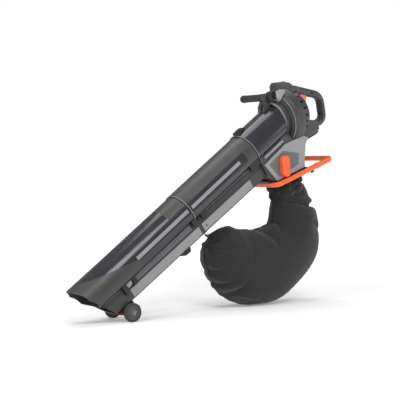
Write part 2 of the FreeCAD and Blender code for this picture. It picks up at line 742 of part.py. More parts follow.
handlePath = [FreeCAD.Vector(*p) for p in ((106, 0, 82.6), (238, 0, 16.5), (224, 0, -77), (165.6, 0, -81))]
handleRadii = (42, 30)


def handleBar(name, half, wide):
    """The handle's bent bar, an oval swept along its path."""
    spine = roundedPath(handlePath, handleRadii)
    run = (handlePath[1] - handlePath[0]).normalize()
    across = FreeCAD.Vector(0, 1, 0)
    oval = Part.Ellipse(handlePath[0] + across * wide, handlePath[0] + across.cross(run) * half,
                        handlePath[0])
    solid = spine.makePipeShell([Part.Wire(oval.toShape())], True, False)
    item = doc.addObject("Part::Feature", name)
    item.Shape = solid
    return item


barOuter = handleBar("handleOuter", dims["gripHalf"], dims["gripWide"])
barInner = handleBar("handleInner", dims["gripHalf"] - 3, dims["gripWide"] - 3)
triggerSlot = slab("triggerSlot", [(128, 48), (176, 24), (184, 36), (134, 62)], 8.5)
lockHole = rod("lockHole", 190, -30, 40.5, 6.2, 25)
handleTools = fuse("handleTools", barInner, triggerSlot.body, lockHole, clearAll)
for label, edge in (("rear_handle_left", -60), ("rear_handle_right", 0)):
    half = box(label + "Half", 60, edge, -140, 220, 60, 300)
    node(common(cut(barOuter, handleTools, label + "Shell"), half, label + "Piece"), label, "body")

trigger = slab("triggerBlock", [
    (137.2, 57), (141, 63.5), (162, 53), (172, 44), (165, 32), (155, 15), (147, 13), (141, 26, -3),
    (137.5, 44),
], 7.5)
trigger.soften(2.5, lambda edge: edge.BoundBox.ZMax < 40 and edge.BoundBox.YLength < 1)
triggerBore = rod("triggerBore", 141, -20, 59, "1.55", 40)
node(cut(trigger.body, triggerBore, "triggerPiece"), "trigger", "body")
pins = [rod("triggerPin", 141, -11.2, 59, "1.5", 22.4)]
switch = box("switch", 166, -6, 56.7, 18, 12, 7)
switch.Placement.Rotation = FreeCAD.Rotation(FreeCAD.Vector(0, 1, 0), 26.6)
node(switch, "power_switch", "body")
lock = slab("lockButton", [
    (184, 40.5), (187, 35.5), (193, 35.5), (196, 40.5), (193, 45.5), (187, 45.5),
], 7, 13)
lock.soften(2, lambda edge: edge.BoundBox.YMin < -19.5 and edge.BoundBox.YLength < 1)
node(lock.body, "lock_on_button", "body")

dial = rod("dialDisc", 62, -15.5, 111.5, 14, 9)
ridges = doc.addObject("Part::MultiFuse", "dialRidges")
ridges.Shapes = [
    rod(f"dialRidge{i}", 62 + 14 * math.cos(i * math.pi / 10), -16,
        111.5 + 14 * math.sin(i * math.pi / 10), 1, 10)
    for i in range(20)
]
dialBore = rod("dialBore", 62, -20, 111.5, "1.55", 20)
node(cut(dial, fuse("dialTools", ridges, dialBore), "speedDial"), "speed_dial", "body")
pins.append(rod("dialPin", 62, -17, 111.5, "1.5", 12))

node(tube("cableInlet", 112, 36.4, -80, 9, 4.2, 12), "cable_inlet", "body")


# ---- outlet housing, selector and its plates

coreOutline = [
    (-161, -174), (-138, "-housingBase"), (22, "-housingBase"), ("fanDepth + 2", -121),
    ("fanDepth + 2", -40),
    (-32, -51.5), (-184, -95),
]
for label, back in (("outlet_housing_near", False), ("outlet_housing_far", True)):
    bench = Bench(label + "Block")
    bench.pad(outline(bench.sketch("XZ_Plane"), coreOutline), "housingHalf", back=back)
    bench.pocket(outline(bench.sketch("XZ_Plane"), inset(coreOutline, "housingWall")),
                 "housingHalf - housingWall",
                 back=not back)
    bagHole = box(label + "BagHole", -112, -50, "-housingBase - 5", 128, 100, 15)
    ductHole = box(label + "DuctHole", -200, "-ductHalf + 6", -163, 60, "ductHalf * 2 - 12", 62)
    shaftHole = rod(label + "ShaftHole", "selectorAlong", -80, "-selectorDrop",
                    "selectorRadius + 0.05", 160)
    tools = fuse(label + "Tools", clearAll, bagHole, ductHole, shaftHole)
    node(cut(bench.body, tools, label), label, "body")

plateOutline = [
    (-170, -123), (-130, "-housingBase"), (14, "-housingBase + 2"), (48, -118), (69, -97), (55, -90),
    (46.8, -84),
    (-48, -84),
]
panelOutline = [(-119, -187), (-51, -181), (-9, -175), (4, -137), (-71, -103), (-150, -128)]
insets = []
for label, sign in (("near", 1), ("far", -1)):
    face = "housingHalf + 0.2" if sign > 0 else "-housingHalf - 0.2"
    out = "housingHalf + plateThick - 1.5" if sign > 0 else "-housingHalf - plateThick + 1.5"
    bench = Bench(label + "Plate")
    bench.pad(outline(bench.sketch("XZ_Plane", face), plateOutline), "plateThick", back=sign < 0)
    bench.pocket(outline(bench.sketch("XZ_Plane", out), panelOutline), "5", back=sign > 0)
    shaftHole = rod(label + "PlateHole", "selectorAlong", -90, "-selectorDrop",
                    "selectorRadius + 0.05", 180)
    node(cut(bench.body, fuse(label + "PlateTools", clearAll, shaftHole), label + "_side_plate"),
         label + "_side_plate", "body")
    bench = Bench(label + "Panel")
    bench.pad(outline(bench.sketch("XZ_Plane", out), inset(panelOutline, 0.4)), "1.2", back=sign < 0)
    hole = rod(label + "PanelHole", "selectorAlong", -90, "-selectorDrop", "selectorRadius + 0.05", 180)
    insets.append(cut(bench.body, hole))
node(group("selectorPanels", *insets), "selector_panels", "body")

knob = Bench("knobBlock")
half = "(knobLength - knobWidth) / 2"
stadium = [(f"-({half})", "-knobWidth / 2"), (half, "-knobWidth / 2", "knobWidth / 2"),
(half, "knobWidth / 2"),
           (f"-({half})", "knobWidth / 2", "knobWidth / 2")]
knob.pad(outline(knob.sketch("XZ_Plane"), stadium), "knobDepth")
knob.soften(7, lambda edge: edge.BoundBox.YMax < -number("knobDepth") + 0.1)
knob.body.Placement = FreeCAD.Placement(vec("selectorAlong", "-housingHalf - plateThick - 0.6",
                                            "-selectorDrop"),
                                        FreeCAD.Rotation(FreeCAD.Vector(0, 1, 0), -(90 - dims["knobLean"])))
knobSeat = rod("knobSeat", "selectorAlong", "-housingHalf - plateThick - 10", "-selectorDrop",
               "selectorRadius", 20)
node(cut(knob.body, knobSeat, "selectorKnob"), "selector_knob", "body")
node(rod("selectorShaft", "selectorAlong", "-housingHalf - plateThick - 10", "-selectorDrop",
         "selectorRadius",
         "2 * housingHalf + plateThick + 16"), "selector_shaft", "body")

flap = Bench("flapPlate")
flap.pad(outline(flap.sketch("XZ_Plane"), [(4, -1.5), (52, -1.5), (52, 1.5), (4, 1.5)]),
         "2 * (housingHalf - housingWall - 1.5)", both=True)
flap.pad(ring(flap.sketch("XZ_Plane"), "selectorRadius + 3"), "2 * (housingHalf - housingWall - 1.5)",
         both=True)
flap.body.Placement = FreeCAD.Placement(vec("selectorAlong", 0, "-selectorDrop"),
                                        FreeCAD.Rotation(FreeCAD.Vector(0, 1, 0), -136))
flapBore = rod("flapBore", "selectorAlong", -60, "-selectorDrop", "selectorRadius", 120)
node(cut(flap.body, flapBore, "diverterFlap"), "diverter_flap", "body")

gasket = doc.addObject("Part::Box", "gasket")
bind(gasket, Length="neckRear - neckFront - 3", Width="2 * neckHalf - 6", Height=1.6)
place(gasket, "neckFront - 4", "-neckHalf + 3", "-housingBase - 1.8")
gasketHole = box("gasketHole", -112, -50, -220, 128, 100, 40)
frontCatch = box("frontCatch", -156, -40, -199.6, 11.5, 80, 8)
node(group("outletSeal", cut(gasket, gasketHole), frontCatch), "outlet_seal", "body")

rails = []
for side, edge in (("near", "-housingHalf - plateThick"), ("far", "housingHalf + 0.3")):
    bar = box(side + "Rail", 764, edge, -48, 108, "plateThick - 0.3", 10)
    rails.append(rounded(bar, 2.8, along("x"), side + "RailSoft"))
node(group("sideRails", *rails), "collar_side_rails", "tube")


# ---- bag frame, neck plate, latch and bag

def loopBlock(name, shrink, corner, height):
    """A block the size of the bag frame, shrunk all round and with rounded corners."""
    block = box(name, f"frameFront + {shrink}", f"-frameHalf + {shrink}", "-frameDrop - frameHeight",
                f"frameRear - frameFront - 2 * {shrink}", f"2 * frameHalf - 2 * {shrink}", height)
    return rounded(block, corner, along("z"), name + "Soft")


outerLoop = loopBlock("loopOuter", "0", 24, "frameHeight")
innerLoop = loopBlock("loopInner", "frameBar", 12, "frameHeight + 1")
loopShape = cut(outerLoop, innerLoop, "loopShape")
doc.recompute()
loopSoft = rounded(loopShape, 4, lambda edge: edge.BoundBox.ZLength < 0.1, "bagFrame")
node(loopSoft, "bag_frame", "body")

inner = box("neckPlate", "frameFront + frameBar + 0.2", "-frameHalf + frameBar + 0.2", "-frameDrop - 12",
            "neckRear - frameFront + 1 - frameBar", "2 * (frameHalf - frameBar) - 0.4", 10)
inner = rounded(inner, 12, along("z"), "neckPlateSoft")
neckHole = box("neckHole", -112, -50, -230, 128, 100, 60)
node(cut(inner, neckHole, "bag_neck_plate"), "bag_neck_plate", "body")

latch = slab("latchBlock", [(29, -199.6), (44, -199.6), (47, -194), (40, -180), (33, -180)], 26)
latchBore = rod("latchBore", 36.5, -40, -184, "1.6", 80)
latch.soften(1.5, lambda edge: edge.BoundBox.ZMin > -198 and edge.BoundBox.YLength < 1)
node(cut(latch.body, latchBore, "bagLatch"), "bag_latch", "body")
pins.append(rod("latchPin", 36.5, -30, -184, "1.5", 60))

# Each rib of the bag: its inner point, its outer point and half its thickness, on the ground frame.
bagRibs = [
    ((659, 419), (802, 471), 58), ((668, 380), (846, 404), 63), ((669, 315), (897, 303), 76),
    ((652, 296), (874, 138), 86), ((600, 286), (700, 6), 90), ((522, 284), (524, -6), 88),
    ((462, 293), (404, 52), 80), ((410, 282), (352, 146), 62), ((372, 256), (345, 206), 30),
]


def bagSolid(ribs):
    wires = []
    for inner, outer, thick in ribs:
        a = FreeCAD.Vector(inner[0], 0, inner[1])
        b = FreeCAD.Vector(outer[0], 0, outer[1])
        middle = (a + b) / 2
        reach = (a - b).Length / 2
        side = middle + FreeCAD.Vector(0, 1, 0) * thick
        if thick > reach:
            oval = Part.Ellipse(side, a, middle)
        else:
            oval = Part.Ellipse(a, side, middle)
        wires.append(Part.Wire(oval.toShape()))
    return Part.makeLoft(wires, True, False)


bag = doc.addObject("Part::Feature", "collecting_bag")
floor = Part.makeBox(900, 400, 200, FreeCAD.Vector(100, -200, -200))
bag.Shape = bagSolid(bagRibs).cut(floor)
node(bag, "collecting_bag", "ground")


# ---- side grip, its arm, bracket and lever

saddle = slab("sideSaddle", [(892, 71), (930, 71), (932, 84), (929, 94), (914, 95), (899, 86)], 17)
armSlot = box("armSlot", 880, -10.3, 60, 100, 12.6, 80)
pivotHole = rod("pivotHole", "sidePivotAlong", -30, "sidePivotRise", "pinRadius", 60)
saddleFoot = box("saddleFoot", 892, -17, 70.6, 38, 34, 3)
seat = fuse("saddleSeat", cut(saddle.body, fuse("saddleTools", armSlot, pivotHole), "saddleCheeks"),
            saddleFoot)
node(seat, "side_grip_bracket", "tube")
sidePin = rod("sidePivot", 0, -19, 0, "pinRadius", 38)
sidePin.Placement.Base = bodyPoint("sidePivotAlong", -19, "sidePivotRise")
pins.append(sidePin)

reachU = dims["sideGripAlong"] - dims["sidePivotAlong"]
reachW = dims["sideGripRise"] - dims["sidePivotRise"]
armLength = math.hypot(reachU, reachW)
arm = Bench("sideArm")
arm.pad(outline(arm.sketch("XZ_Plane", 10), [
    (0, -9), (armLength, -12, 12), (armLength, 12), (0, 9, 9),
]), 12, back=True)
lean = FreeCAD.Rotation(FreeCAD.Vector(0, 1, 0), -math.degrees(math.atan2(reachW, reachU)))
arm.body.Placement = FreeCAD.Placement(vec("sidePivotAlong", 0, "sidePivotRise"), lean)
armBore = rod("armBore", "sidePivotAlong", -20, "sidePivotRise", "pinRadius + 0.05", 40)
boss = doc.addObject("Part::Prism", "sideBoss")
boss.Polygon = 6
boss.Circumradius = 15
boss.Height = 12
place(boss, "sideGripAlong", 2, "sideGripRise", (1, 0, 0), -90)
node(cut(fuse("armAndBoss", arm.body, boss), armBore, "side_grip_arm"), "side_grip_arm", "tube")
grip = rod("gripRod", "sideGripAlong", "sideGripStart + 0.2", "sideGripRise", "sideGripRadius",
           "sideGripLength")
grip = rounded(grip, 5, lambda edge: edge.BoundBox.YMin > 100 and edge.BoundBox.YLength < 1, "sideGrip")
node(grip, "side_grip", "tube")

jaw = slab("jawBlock", [
    (-34, 72), (-18, 74), (-16, 90), (-7, 99), (-7, 104), (-13, 110), (-24, 108), (-33, 96),
], 11, 27)
jawHole = rod("jawHole", -26, -70, 79, "pinRadius", 60)
node(cut(jaw.body, jawHole, "jawPiece"), "clamp_jaw", "body")
pins.append(rod("leverPin", -26, -64, 79, "pinRadius", 50))
node(group("pivotPins", *pins), "pivot_pins", "body")
lever = slab("clampLever", [(-30, 73), (-20, 73), (17, 99, 8), (-27, 108)], 2.5, 60)
leverBore = rod("leverBore", -26, -70, 79, "pinRadius + 0.05", 40)
node(cut(lever.body, leverBore, "clampLeverPiece"), "clamp_lever", "body")


# ---- check, stand on the ground and write

doc.recompute()
for item in doc.Objects:
    if "Invalid" in item.State or "Error" in item.State:
        raise RuntimeError(f"{item.Name} failed: {item.State}")
for item, frame in nodes:
    item.Placement = frames[frame].multiply(item.Placement)
bounds = FreeCAD.BoundBox()
for item, frame in nodes:
    if frame != "ground":
        bounds.add(item.Shape.optimalBoundingBox(False, False))
origin = FreeCAD.Vector(bounds.Center.x, bounds.Center.y, 0)
toOrigin = FreeCAD.Placement(-origin, FreeCAD.Rotation())
os.makedirs("parts", exist_ok=True)
for item, frame in nodes:
    item.Placement = toOrigin.multiply(item.Placement)
    shape = item.Shape
    if shape.isNull() or not shape.isValid():
        raise RuntimeError(f"{item.Label} has no valid shape")
    shape.exportStep(f"parts/{item.Label}.step")
size = " x ".join(f"{length:.1f}" for length in (bounds.XLength, bounds.YLength, bounds.ZLength))
print(f"{len(nodes)} sub-parts, {size} mm")
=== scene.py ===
import json
import math

import bpy
from mathutils import Matrix, Vector, noise
from mathutils.bvhtree import BVHTree


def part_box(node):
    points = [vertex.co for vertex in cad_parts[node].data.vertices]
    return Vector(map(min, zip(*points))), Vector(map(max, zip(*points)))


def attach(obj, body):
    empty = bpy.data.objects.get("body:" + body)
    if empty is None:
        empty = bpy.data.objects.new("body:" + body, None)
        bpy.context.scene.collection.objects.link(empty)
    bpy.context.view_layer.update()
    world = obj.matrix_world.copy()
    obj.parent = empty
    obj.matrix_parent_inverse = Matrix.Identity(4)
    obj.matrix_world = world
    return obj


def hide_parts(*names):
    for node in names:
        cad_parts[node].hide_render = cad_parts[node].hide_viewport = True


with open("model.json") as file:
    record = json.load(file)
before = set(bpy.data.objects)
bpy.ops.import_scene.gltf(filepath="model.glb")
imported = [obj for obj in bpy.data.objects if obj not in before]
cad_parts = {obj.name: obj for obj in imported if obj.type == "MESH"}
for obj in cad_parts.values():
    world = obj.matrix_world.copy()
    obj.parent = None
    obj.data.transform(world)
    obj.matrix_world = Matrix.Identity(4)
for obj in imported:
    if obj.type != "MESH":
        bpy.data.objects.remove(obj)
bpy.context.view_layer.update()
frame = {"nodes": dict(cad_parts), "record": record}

nodes = frame["nodes"]
print("frame loaded,", len(nodes), "parts")

# Sizes below are in millimetres. Three layouts are used: "tube" runs along the suction tube, "body" along
# the fan axis, and "ground" stands under the wheel axle.
layout = {"tubeTilt": 35.7, "bodyTilt": 16.0, "axleDrop": 119.0, "bodyAlong": 945.0, "bodyRise": 8.0}


def middleOf(node):
    low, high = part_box(node)
    return (low + high) / 2


def shiftBy(x, y, z):
    return Matrix.Translation(Vector((x, y, z)) / 1000)


def turnY(degrees):
    return Matrix.Rotation(math.radians(degrees), 4, "Y")


axle = middleOf("wheel_axle")
layoutOf = {"ground": Matrix.Translation((axle.x, axle.y, 0))}
layoutOf["tube"] = Matrix.Translation(axle) @ turnY(-layout["tubeTilt"]) @ shiftBy(0, 0, layout["axleDrop"])
layoutOf["body"] = (layoutOf["tube"] @ shiftBy(layout["bodyAlong"], 0, layout["bodyRise"])
                    @ turnY(layout["bodyTilt"]))


def spot(where, x, y, z):
    return layoutOf[where] @ (Vector((x, y, z)) / 1000)


def heading(where, x, y, z):
    return (layoutOf[where].to_3x3() @ Vector((x, y, z))).normalized()


# ---- shader groups shared by the materials

def addNode(tree, kind, **settings):
    made = tree.nodes.new(kind)
    for key, value in settings.items():
        if hasattr(made, key):
            setattr(made, key, value)
        else:
            made.inputs[key].default_value = value
    return made


def join(tree, source, target):
    tree.links.new(source, target)


def maths(tree, operation, first, second=0.5, clamp=False):
    made = addNode(tree, "ShaderNodeMath", operation=operation, use_clamp=clamp)
    for socket, value in zip(made.inputs, (first, second)):
        if hasattr(value, "is_output"):
            join(tree, value, socket)
        else:
            socket.default_value = value
    return made.outputs[0]


def newGroup(name, inputs, outputs):
    tree = bpy.data.node_groups.new(name, "ShaderNodeTree")
    for label, value in inputs.items():
        socket = tree.interface.new_socket(label, in_out="INPUT", socket_type="NodeSocketFloat")
        socket.default_value = value
    for label in outputs:
        tree.interface.new_socket(label, in_out="OUTPUT", socket_type="NodeSocketFloat")
    return tree, tree.nodes.new("NodeGroupInput"), tree.nodes.new("NodeGroupOutput")


def objectSpot(tree):
    return addNode(tree, "ShaderNodeTexCoord").outputs["Object"]


def noiseOf(tree, vector, scale, detail=3.0, roughness=0.55):
    made = addNode(tree, "ShaderNodeTexNoise", Detail=detail, Roughness=roughness)
    join(tree, vector, made.inputs["Vector"])
    if hasattr(scale, "is_output"):
        join(tree, scale, made.inputs["Scale"])
    else:
        made.inputs["Scale"].default_value = scale
    return made.outputs["Fac"]


def ramp(tree, value, low, high):
    made = addNode(tree, "ShaderNodeMapRange", clamp=True)
    made.interpolation_type = "SMOOTHSTEP"
    made.inputs["From Min"].default_value = low
    made.inputs["From Max"].default_value = high
    join(tree, value, made.inputs["Value"])
    return made.outputs["Result"]


def makeGrain():
    # Moulded grain: fine speckle for the bump, and a slow drift for the tone.
    tree, entry, leave = newGroup("mouldedGrain", {"Scale": 900.0}, ("Height", "Tone"))
    vector = objectSpot(tree)
    fine = noiseOf(tree, vector, entry.outputs["Scale"], 2.0)
    slow = noiseOf(tree, vector, 14.0, 4.0)
    middle = noiseOf(tree, vector, 120.0, 3.0)
    join(tree, fine, leave.inputs["Height"])
    join(tree, maths(tree, "ADD", maths(tree, "MULTIPLY", slow, 0.6), maths(tree, "MULTIPLY", middle, 0.4)),
         leave.inputs["Tone"])
    return tree


def makeWear():
    # Rubbed edges, broken up so that they don't run as one line.
    tree, entry, leave = newGroup("rubbedEdges", {"Radius": 0.0012}, ("Mask",))
    bent = addNode(tree, "ShaderNodeBevel", samples=4)
    join(tree, entry.outputs["Radius"], bent.inputs["Radius"])
    flat = addNode(tree, "ShaderNodeNewGeometry")
    match = addNode(tree, "ShaderNodeVectorMath", operation="DOT_PRODUCT")
    join(tree, bent.outputs["Normal"], match.inputs[0])
    join(tree, flat.outputs["Normal"], match.inputs[1])
    edge = ramp(tree, maths(tree, "SUBTRACT", 1.0, match.outputs["Value"]), 0.02, 0.25)
    patches = ramp(tree, noiseOf(tree, objectSpot(tree), 60.0, 5.0, 0.7), 0.42, 0.62)
    join(tree, maths(tree, "MULTIPLY", edge, patches), leave.inputs["Mask"])
    return tree


def makeDust():
    # Dust lies on faces that look up.
    tree, entry, leave = newGroup("settledDust", {"Amount": 0.2}, ("Mask",))
    split = addNode(tree, "ShaderNodeSeparateXYZ")
    join(tree, addNode(tree, "ShaderNodeNewGeometry").outputs["Normal"], split.inputs[0])
    up = ramp(tree, split.outputs["Z"], 0.35, 1.0)
    clouds = ramp(tree, noiseOf(tree, objectSpot(tree), 35.0, 6.0, 0.65), 0.4, 0.75)
    both = maths(tree, "MULTIPLY", up, clouds)
    join(tree, maths(tree, "MULTIPLY", both, entry.outputs["Amount"]), leave.inputs["Mask"])
    return tree


def makeWeave():
    # Plain weave: two crossing sets of threads, plus thread unevenness.
    tree, entry, leave = newGroup("plainWeave", {"Threads": 1500.0}, ("Height", "Tone"))
    vector = objectSpot(tree)
    threads = []
    for direction in ((1, 0.35, 0.12), (-0.12, 0.35, 1)):
        along = addNode(tree, "ShaderNodeVectorMath", operation="DOT_PRODUCT")
        join(tree, vector, along.inputs[0])
        along.inputs[1].default_value = direction
        wave = maths(tree, "SINE", maths(tree, "MULTIPLY", along.outputs["Value"], entry.outputs["Threads"]))
        threads.append(wave)
    cross = maths(tree, "MULTIPLY", threads[0], threads[1])
    uneven = noiseOf(tree, vector, 260.0, 3.0, 0.7)
    level = maths(tree, "MULTIPLY", maths(tree, "ADD", cross, 1.0), 0.5)
    join(tree, level, leave.inputs["Height"])
    join(tree, maths(tree, "ADD", maths(tree, "MULTIPLY", level, 0.35), maths(tree, "MULTIPLY", uneven, 0.65)),
         leave.inputs["Tone"])
    return tree


grainGroup = makeGrain()
wearGroup = makeWear()
dustGroup = makeDust()
weaveGroup = makeWeave()


def place(tree, group, **values):
    made = tree.nodes.new("ShaderNodeGroup")
    made.node_tree = group
    for key, value in values.items():
        made.inputs[key].default_value = value
    return made


def mixColour(tree, mask, first, second):
    made = addNode(tree, "ShaderNodeMix", data_type="RGBA")
    join(tree, mask, made.inputs["Factor"])
    for socket, value in ((made.inputs[6], first), (made.inputs[7], second)):
        if hasattr(value, "is_output"):
            join(tree, value, socket)
        else:
            socket.default_value = (*value, 1)
    return made.outputs[2]


def mixValue(tree, mask, first, second):
    made = addNode(tree, "ShaderNodeMix", data_type="FLOAT")
    join(tree, mask, made.inputs["Factor"])
    for socket, value in ((made.inputs[2], first), (made.inputs[3], second)):
        if hasattr(value, "is_output"):
            join(tree, value, socket)
        else:
            socket.default_value = value
    return made.outputs[0]


def shades(colour, spread):
    return tuple(c * (1 - spread) for c in colour), tuple(min(1, c * (1 + spread)) for c in colour)


def newMaterial(name):
    made = bpy.data.materials.new(name)
    made.use_nodes = True
    return made, made.node_tree, made.node_tree.nodes["Principled BSDF"]


def addBump(tree, shader, height, depth, strength=1.0):
    bump = addNode(tree, "ShaderNodeBump", Distance=depth, Strength=strength)
    join(tree, height, bump.inputs["Height"])
    join(tree, bump.outputs["Normal"], shader.inputs["Normal"])


# colour, its spread, roughness from and to, grain scale and depth, wear colour, dust, coat
plastics = {
    "housingSatin": {"colour": (0.044, 0.044, 0.043), "spread": 0.10, "rough": (0.40, 0.52), "scale": 1500,
                     "depth": 0.00006, "worn": (0.17, 0.17, 0.168), "dust": 0.08},
    "blackTextured": {"colour": (0.014, 0.014, 0.015), "spread": 0.18, "rough": (0.45, 0.62), "scale": 1400,
                      "depth": 0.00009, "worn": (0.06, 0.06, 0.06), "dust": 0.10},
    "paleSatin": {"colour": (0.27, 0.275, 0.285), "spread": 0.05, "rough": (0.34, 0.46), "scale": 1500,
                  "depth": 0.00004, "worn": (0.42, 0.42, 0.43), "dust": 0.05},
    "panelTextured": {"colour": (0.125, 0.132, 0.136), "spread": 0.10, "rough": (0.52, 0.68), "scale": 1100,
                      "depth": 0.0001, "worn": (0.2, 0.2, 0.2), "dust": 0.05},
    "orangeGloss": {"colour": (0.86, 0.115, 0.014), "spread": 0.06, "rough": (0.26, 0.38), "scale": 1300,
                    "depth": 0.00003, "worn": (0.95, 0.30, 0.10), "dust": 0.04, "coat": 0.25},
    "darkRedSatin": {"colour": (0.13, 0.018, 0.016), "spread": 0.12, "rough": (0.38, 0.52), "scale": 1300,
                     "depth": 0.00005, "worn": (0.4, 0.08, 0.06), "dust": 0.05},
    "hubGrey": {"colour": (0.075, 0.075, 0.076), "spread": 0.12, "rough": (0.42, 0.55), "scale": 1200,
                "depth": 0.00006, "worn": (0.16, 0.16, 0.16), "dust": 0.10},
    "tyreRubber": {"colour": (0.038, 0.038, 0.038), "spread": 0.22, "rough": (0.62, 0.82), "scale": 800,
                   "depth": 0.00014, "worn": (0.10, 0.095, 0.09), "dust": 0.22},
    "fanBlack": {"colour": (0.045, 0.045, 0.048), "spread": 0.15, "rough": (0.45, 0.6), "scale": 1000,
                 "depth": 0.00006, "worn": (0.1, 0.1, 0.1), "dust": 0.15},
    "pressedCarbon": {"colour": (0.02, 0.02, 0.021), "spread": 0.3, "rough": (0.55, 0.8), "scale": 700,
                      "depth": 0.0001, "worn": (0.06, 0.06, 0.06), "dust": 0.1},
    "softTouch": {"colour": (0.022, 0.022, 0.023), "spread": 0.15, "rough": (0.68, 0.82), "scale": 1700,
                  "depth": 0.00008, "worn": (0.05, 0.05, 0.05), "dust": 0.12},
}


def plasticMaterial(name, facts):
    made, tree, shader = newMaterial(name)
    grain = place(tree, grainGroup, Scale=float(facts["scale"]))
    wear = place(tree, wearGroup, Radius=0.0011)
    dust = place(tree, dustGroup, Amount=facts["dust"])
    darker, lighter = shades(facts["colour"], facts["spread"])
    tone = ramp(tree, grain.outputs["Tone"], 0.3, 0.7)
    colour = mixColour(tree, tone, darker, lighter)
    colour = mixColour(tree, maths(tree, "MULTIPLY", wear.outputs["Mask"], 0.6), colour, facts["worn"])
    colour = mixColour(tree, dust.outputs["Mask"], colour, (0.30, 0.28, 0.25))
    join(tree, colour, shader.inputs["Base Color"])
    rough = mixValue(tree, tone, *facts["rough"])
    join(tree, mixValue(tree, dust.outputs["Mask"], rough, 0.9), shader.inputs["Roughness"])
    if "coat" in facts:
        shader.inputs["Coat Weight"].default_value = facts["coat"]
        shader.inputs["Coat Roughness"].default_value = 0.18
    addBump(tree, shader, grain.outputs["Height"], facts["depth"])
    return made


# The suction tube is glossy, with matt bands at the mouth and under it, over the top and before the collar.
tubeFinish = {"gloss": (0.028, 0.029, 0.036), "matt": (0.046, 0.046, 0.044), "glossRough": (0.12, 0.20),
              "mattRough": (0.38, 0.50), "rimTo": -88, "underTo": 125, "underSlope": 0.27, "underRise": 43,
              "topFrom": 295, "topRise": 34,
              "endFrom": 690, "endTo": 741}


def alongTube(tree, direction, origin):
    # distance in millimetres along a direction of the tube layout
    aim = heading("tube", *direction)
    made = addNode(tree, "ShaderNodeVectorMath", operation="DOT_PRODUCT")
    join(tree, objectSpot(tree), made.inputs[0])
    made.inputs[1].default_value = aim * 1000
    return maths(tree, "SUBTRACT", made.outputs["Value"], aim.dot(origin) * 1000)


def tubeMaterial(name, facts):
    made, tree, shader = newMaterial(name)
    origin = spot("tube", 0, 0, 0)
    station = alongTube(tree, (1, 0, 0), origin)
    rise = alongTube(tree, (0, 0, 1), origin)
    slanted = maths(tree, "ADD", rise, maths(tree, "MULTIPLY", station, facts["underSlope"]))
    under = maths(tree, "MULTIPLY", maths(tree, "LESS_THAN", station, facts["underTo"]),
                  maths(tree, "LESS_THAN", slanted, facts["underRise"]))
    mouth = maths(tree, "MAXIMUM", maths(tree, "LESS_THAN", station, facts["rimTo"]), under)
    top = maths(tree, "MULTIPLY", ramp(tree, rise, facts["topRise"], facts["topRise"] + 1.5),
                maths(tree, "MULTIPLY", maths(tree, "GREATER_THAN", station, facts["topFrom"]),
                      maths(tree, "LESS_THAN", station, facts["endTo"])))
    rear = maths(tree, "MULTIPLY", maths(tree, "GREATER_THAN", station, facts["endFrom"]),
                 maths(tree, "LESS_THAN", station, facts["endTo"]))
    matt = maths(tree, "MAXIMUM", mouth, maths(tree, "MAXIMUM", top, rear))
    grain = place(tree, grainGroup, Scale=1500.0)
    wear = place(tree, wearGroup, Radius=0.0011)
    dust = place(tree, dustGroup, Amount=0.07)
    tone = ramp(tree, grain.outputs["Tone"], 0.3, 0.7)
    glossy = mixColour(tree, tone, *shades(facts["gloss"], 0.07))
    plain = mixColour(tree, tone, *shades(facts["matt"], 0.08))
    colour = mixColour(tree, matt, glossy, plain)
    colour = mixColour(tree, maths(tree, "MULTIPLY", wear.outputs["Mask"], 0.6), colour, (0.18, 0.18, 0.185))
    join(tree, mixColour(tree, dust.outputs["Mask"], colour, (0.30, 0.28, 0.25)), shader.inputs["Base Color"])
    rough = mixValue(tree, matt, mixValue(tree, tone, *facts["glossRough"]), mixValue(tree, tone, *facts["mattRough"]))
    join(tree, rough, shader.inputs["Roughness"])
    addBump(tree, shader, maths(tree, "MULTIPLY", grain.outputs["Height"], mixValue(tree, matt, 0.25, 1.0)), 0.00005)
    return made


metals = {
    "turnedSteel": {"colour": (0.22, 0.22, 0.23), "rough": (0.34, 0.5), "metal": 1.0},
    "platedRing": {"colour": (0.80, 0.80, 0.81), "rough": (0.25, 0.38), "metal": 0.35},
    "laminatedIron": {"colour": (0.19, 0.18, 0.18), "rough": (0.45, 0.65), "metal": 0.85},
}


def metalMaterial(name, facts):
    made, tree, shader = newMaterial(name)
    stretched = addNode(tree, "ShaderNodeMapping", vector_type="POINT")
    stretched.inputs["Scale"].default_value = (1.0, 0.06, 1.0)
    join(tree, objectSpot(tree), stretched.inputs["Vector"])
    scratches = noiseOf(tree, stretched.outputs["Vector"], 1800.0, 4.0, 0.7)
    clouds = noiseOf(tree, objectSpot(tree), 50.0, 4.0)
    wear = place(tree, wearGroup, Radius=0.0008)
    tone = mixColour(tree, ramp(tree, clouds, 0.3, 0.7), *shades(facts["colour"], 0.12))
    brighter = tuple(min(1, c * 1.4) for c in facts["colour"])
    join(tree, mixColour(tree, wear.outputs["Mask"], tone, brighter), shader.inputs["Base Color"])
    join(tree, mixValue(tree, ramp(tree, scratches, 0.3, 0.7), *facts["rough"]), shader.inputs["Roughness"])
    shader.inputs["Metallic"].default_value = facts["metal"]
    addBump(tree, shader, scratches, 0.00003)
    return made


cloths = {
    "bagCloth": {"colour": (0.0200, 0.0200, 0.0208), "spread": 0.28, "threads": 3200.0, "depth": 0.00022,
                 "rough": (0.78, 0.95), "sheen": 0.22},
    "strapWebbing": {"colour": (0.014, 0.014, 0.015), "spread": 0.35, "threads": 2100.0, "depth": 0.0004,
                     "rough": (0.72, 0.9), "sheen": 0.15},
    "sewingThread": {"colour": (0.035, 0.035, 0.037), "spread": 0.3, "threads": 5200.0, "depth": 0.00012,
                     "rough": (0.6, 0.8), "sheen": 0.2},
}


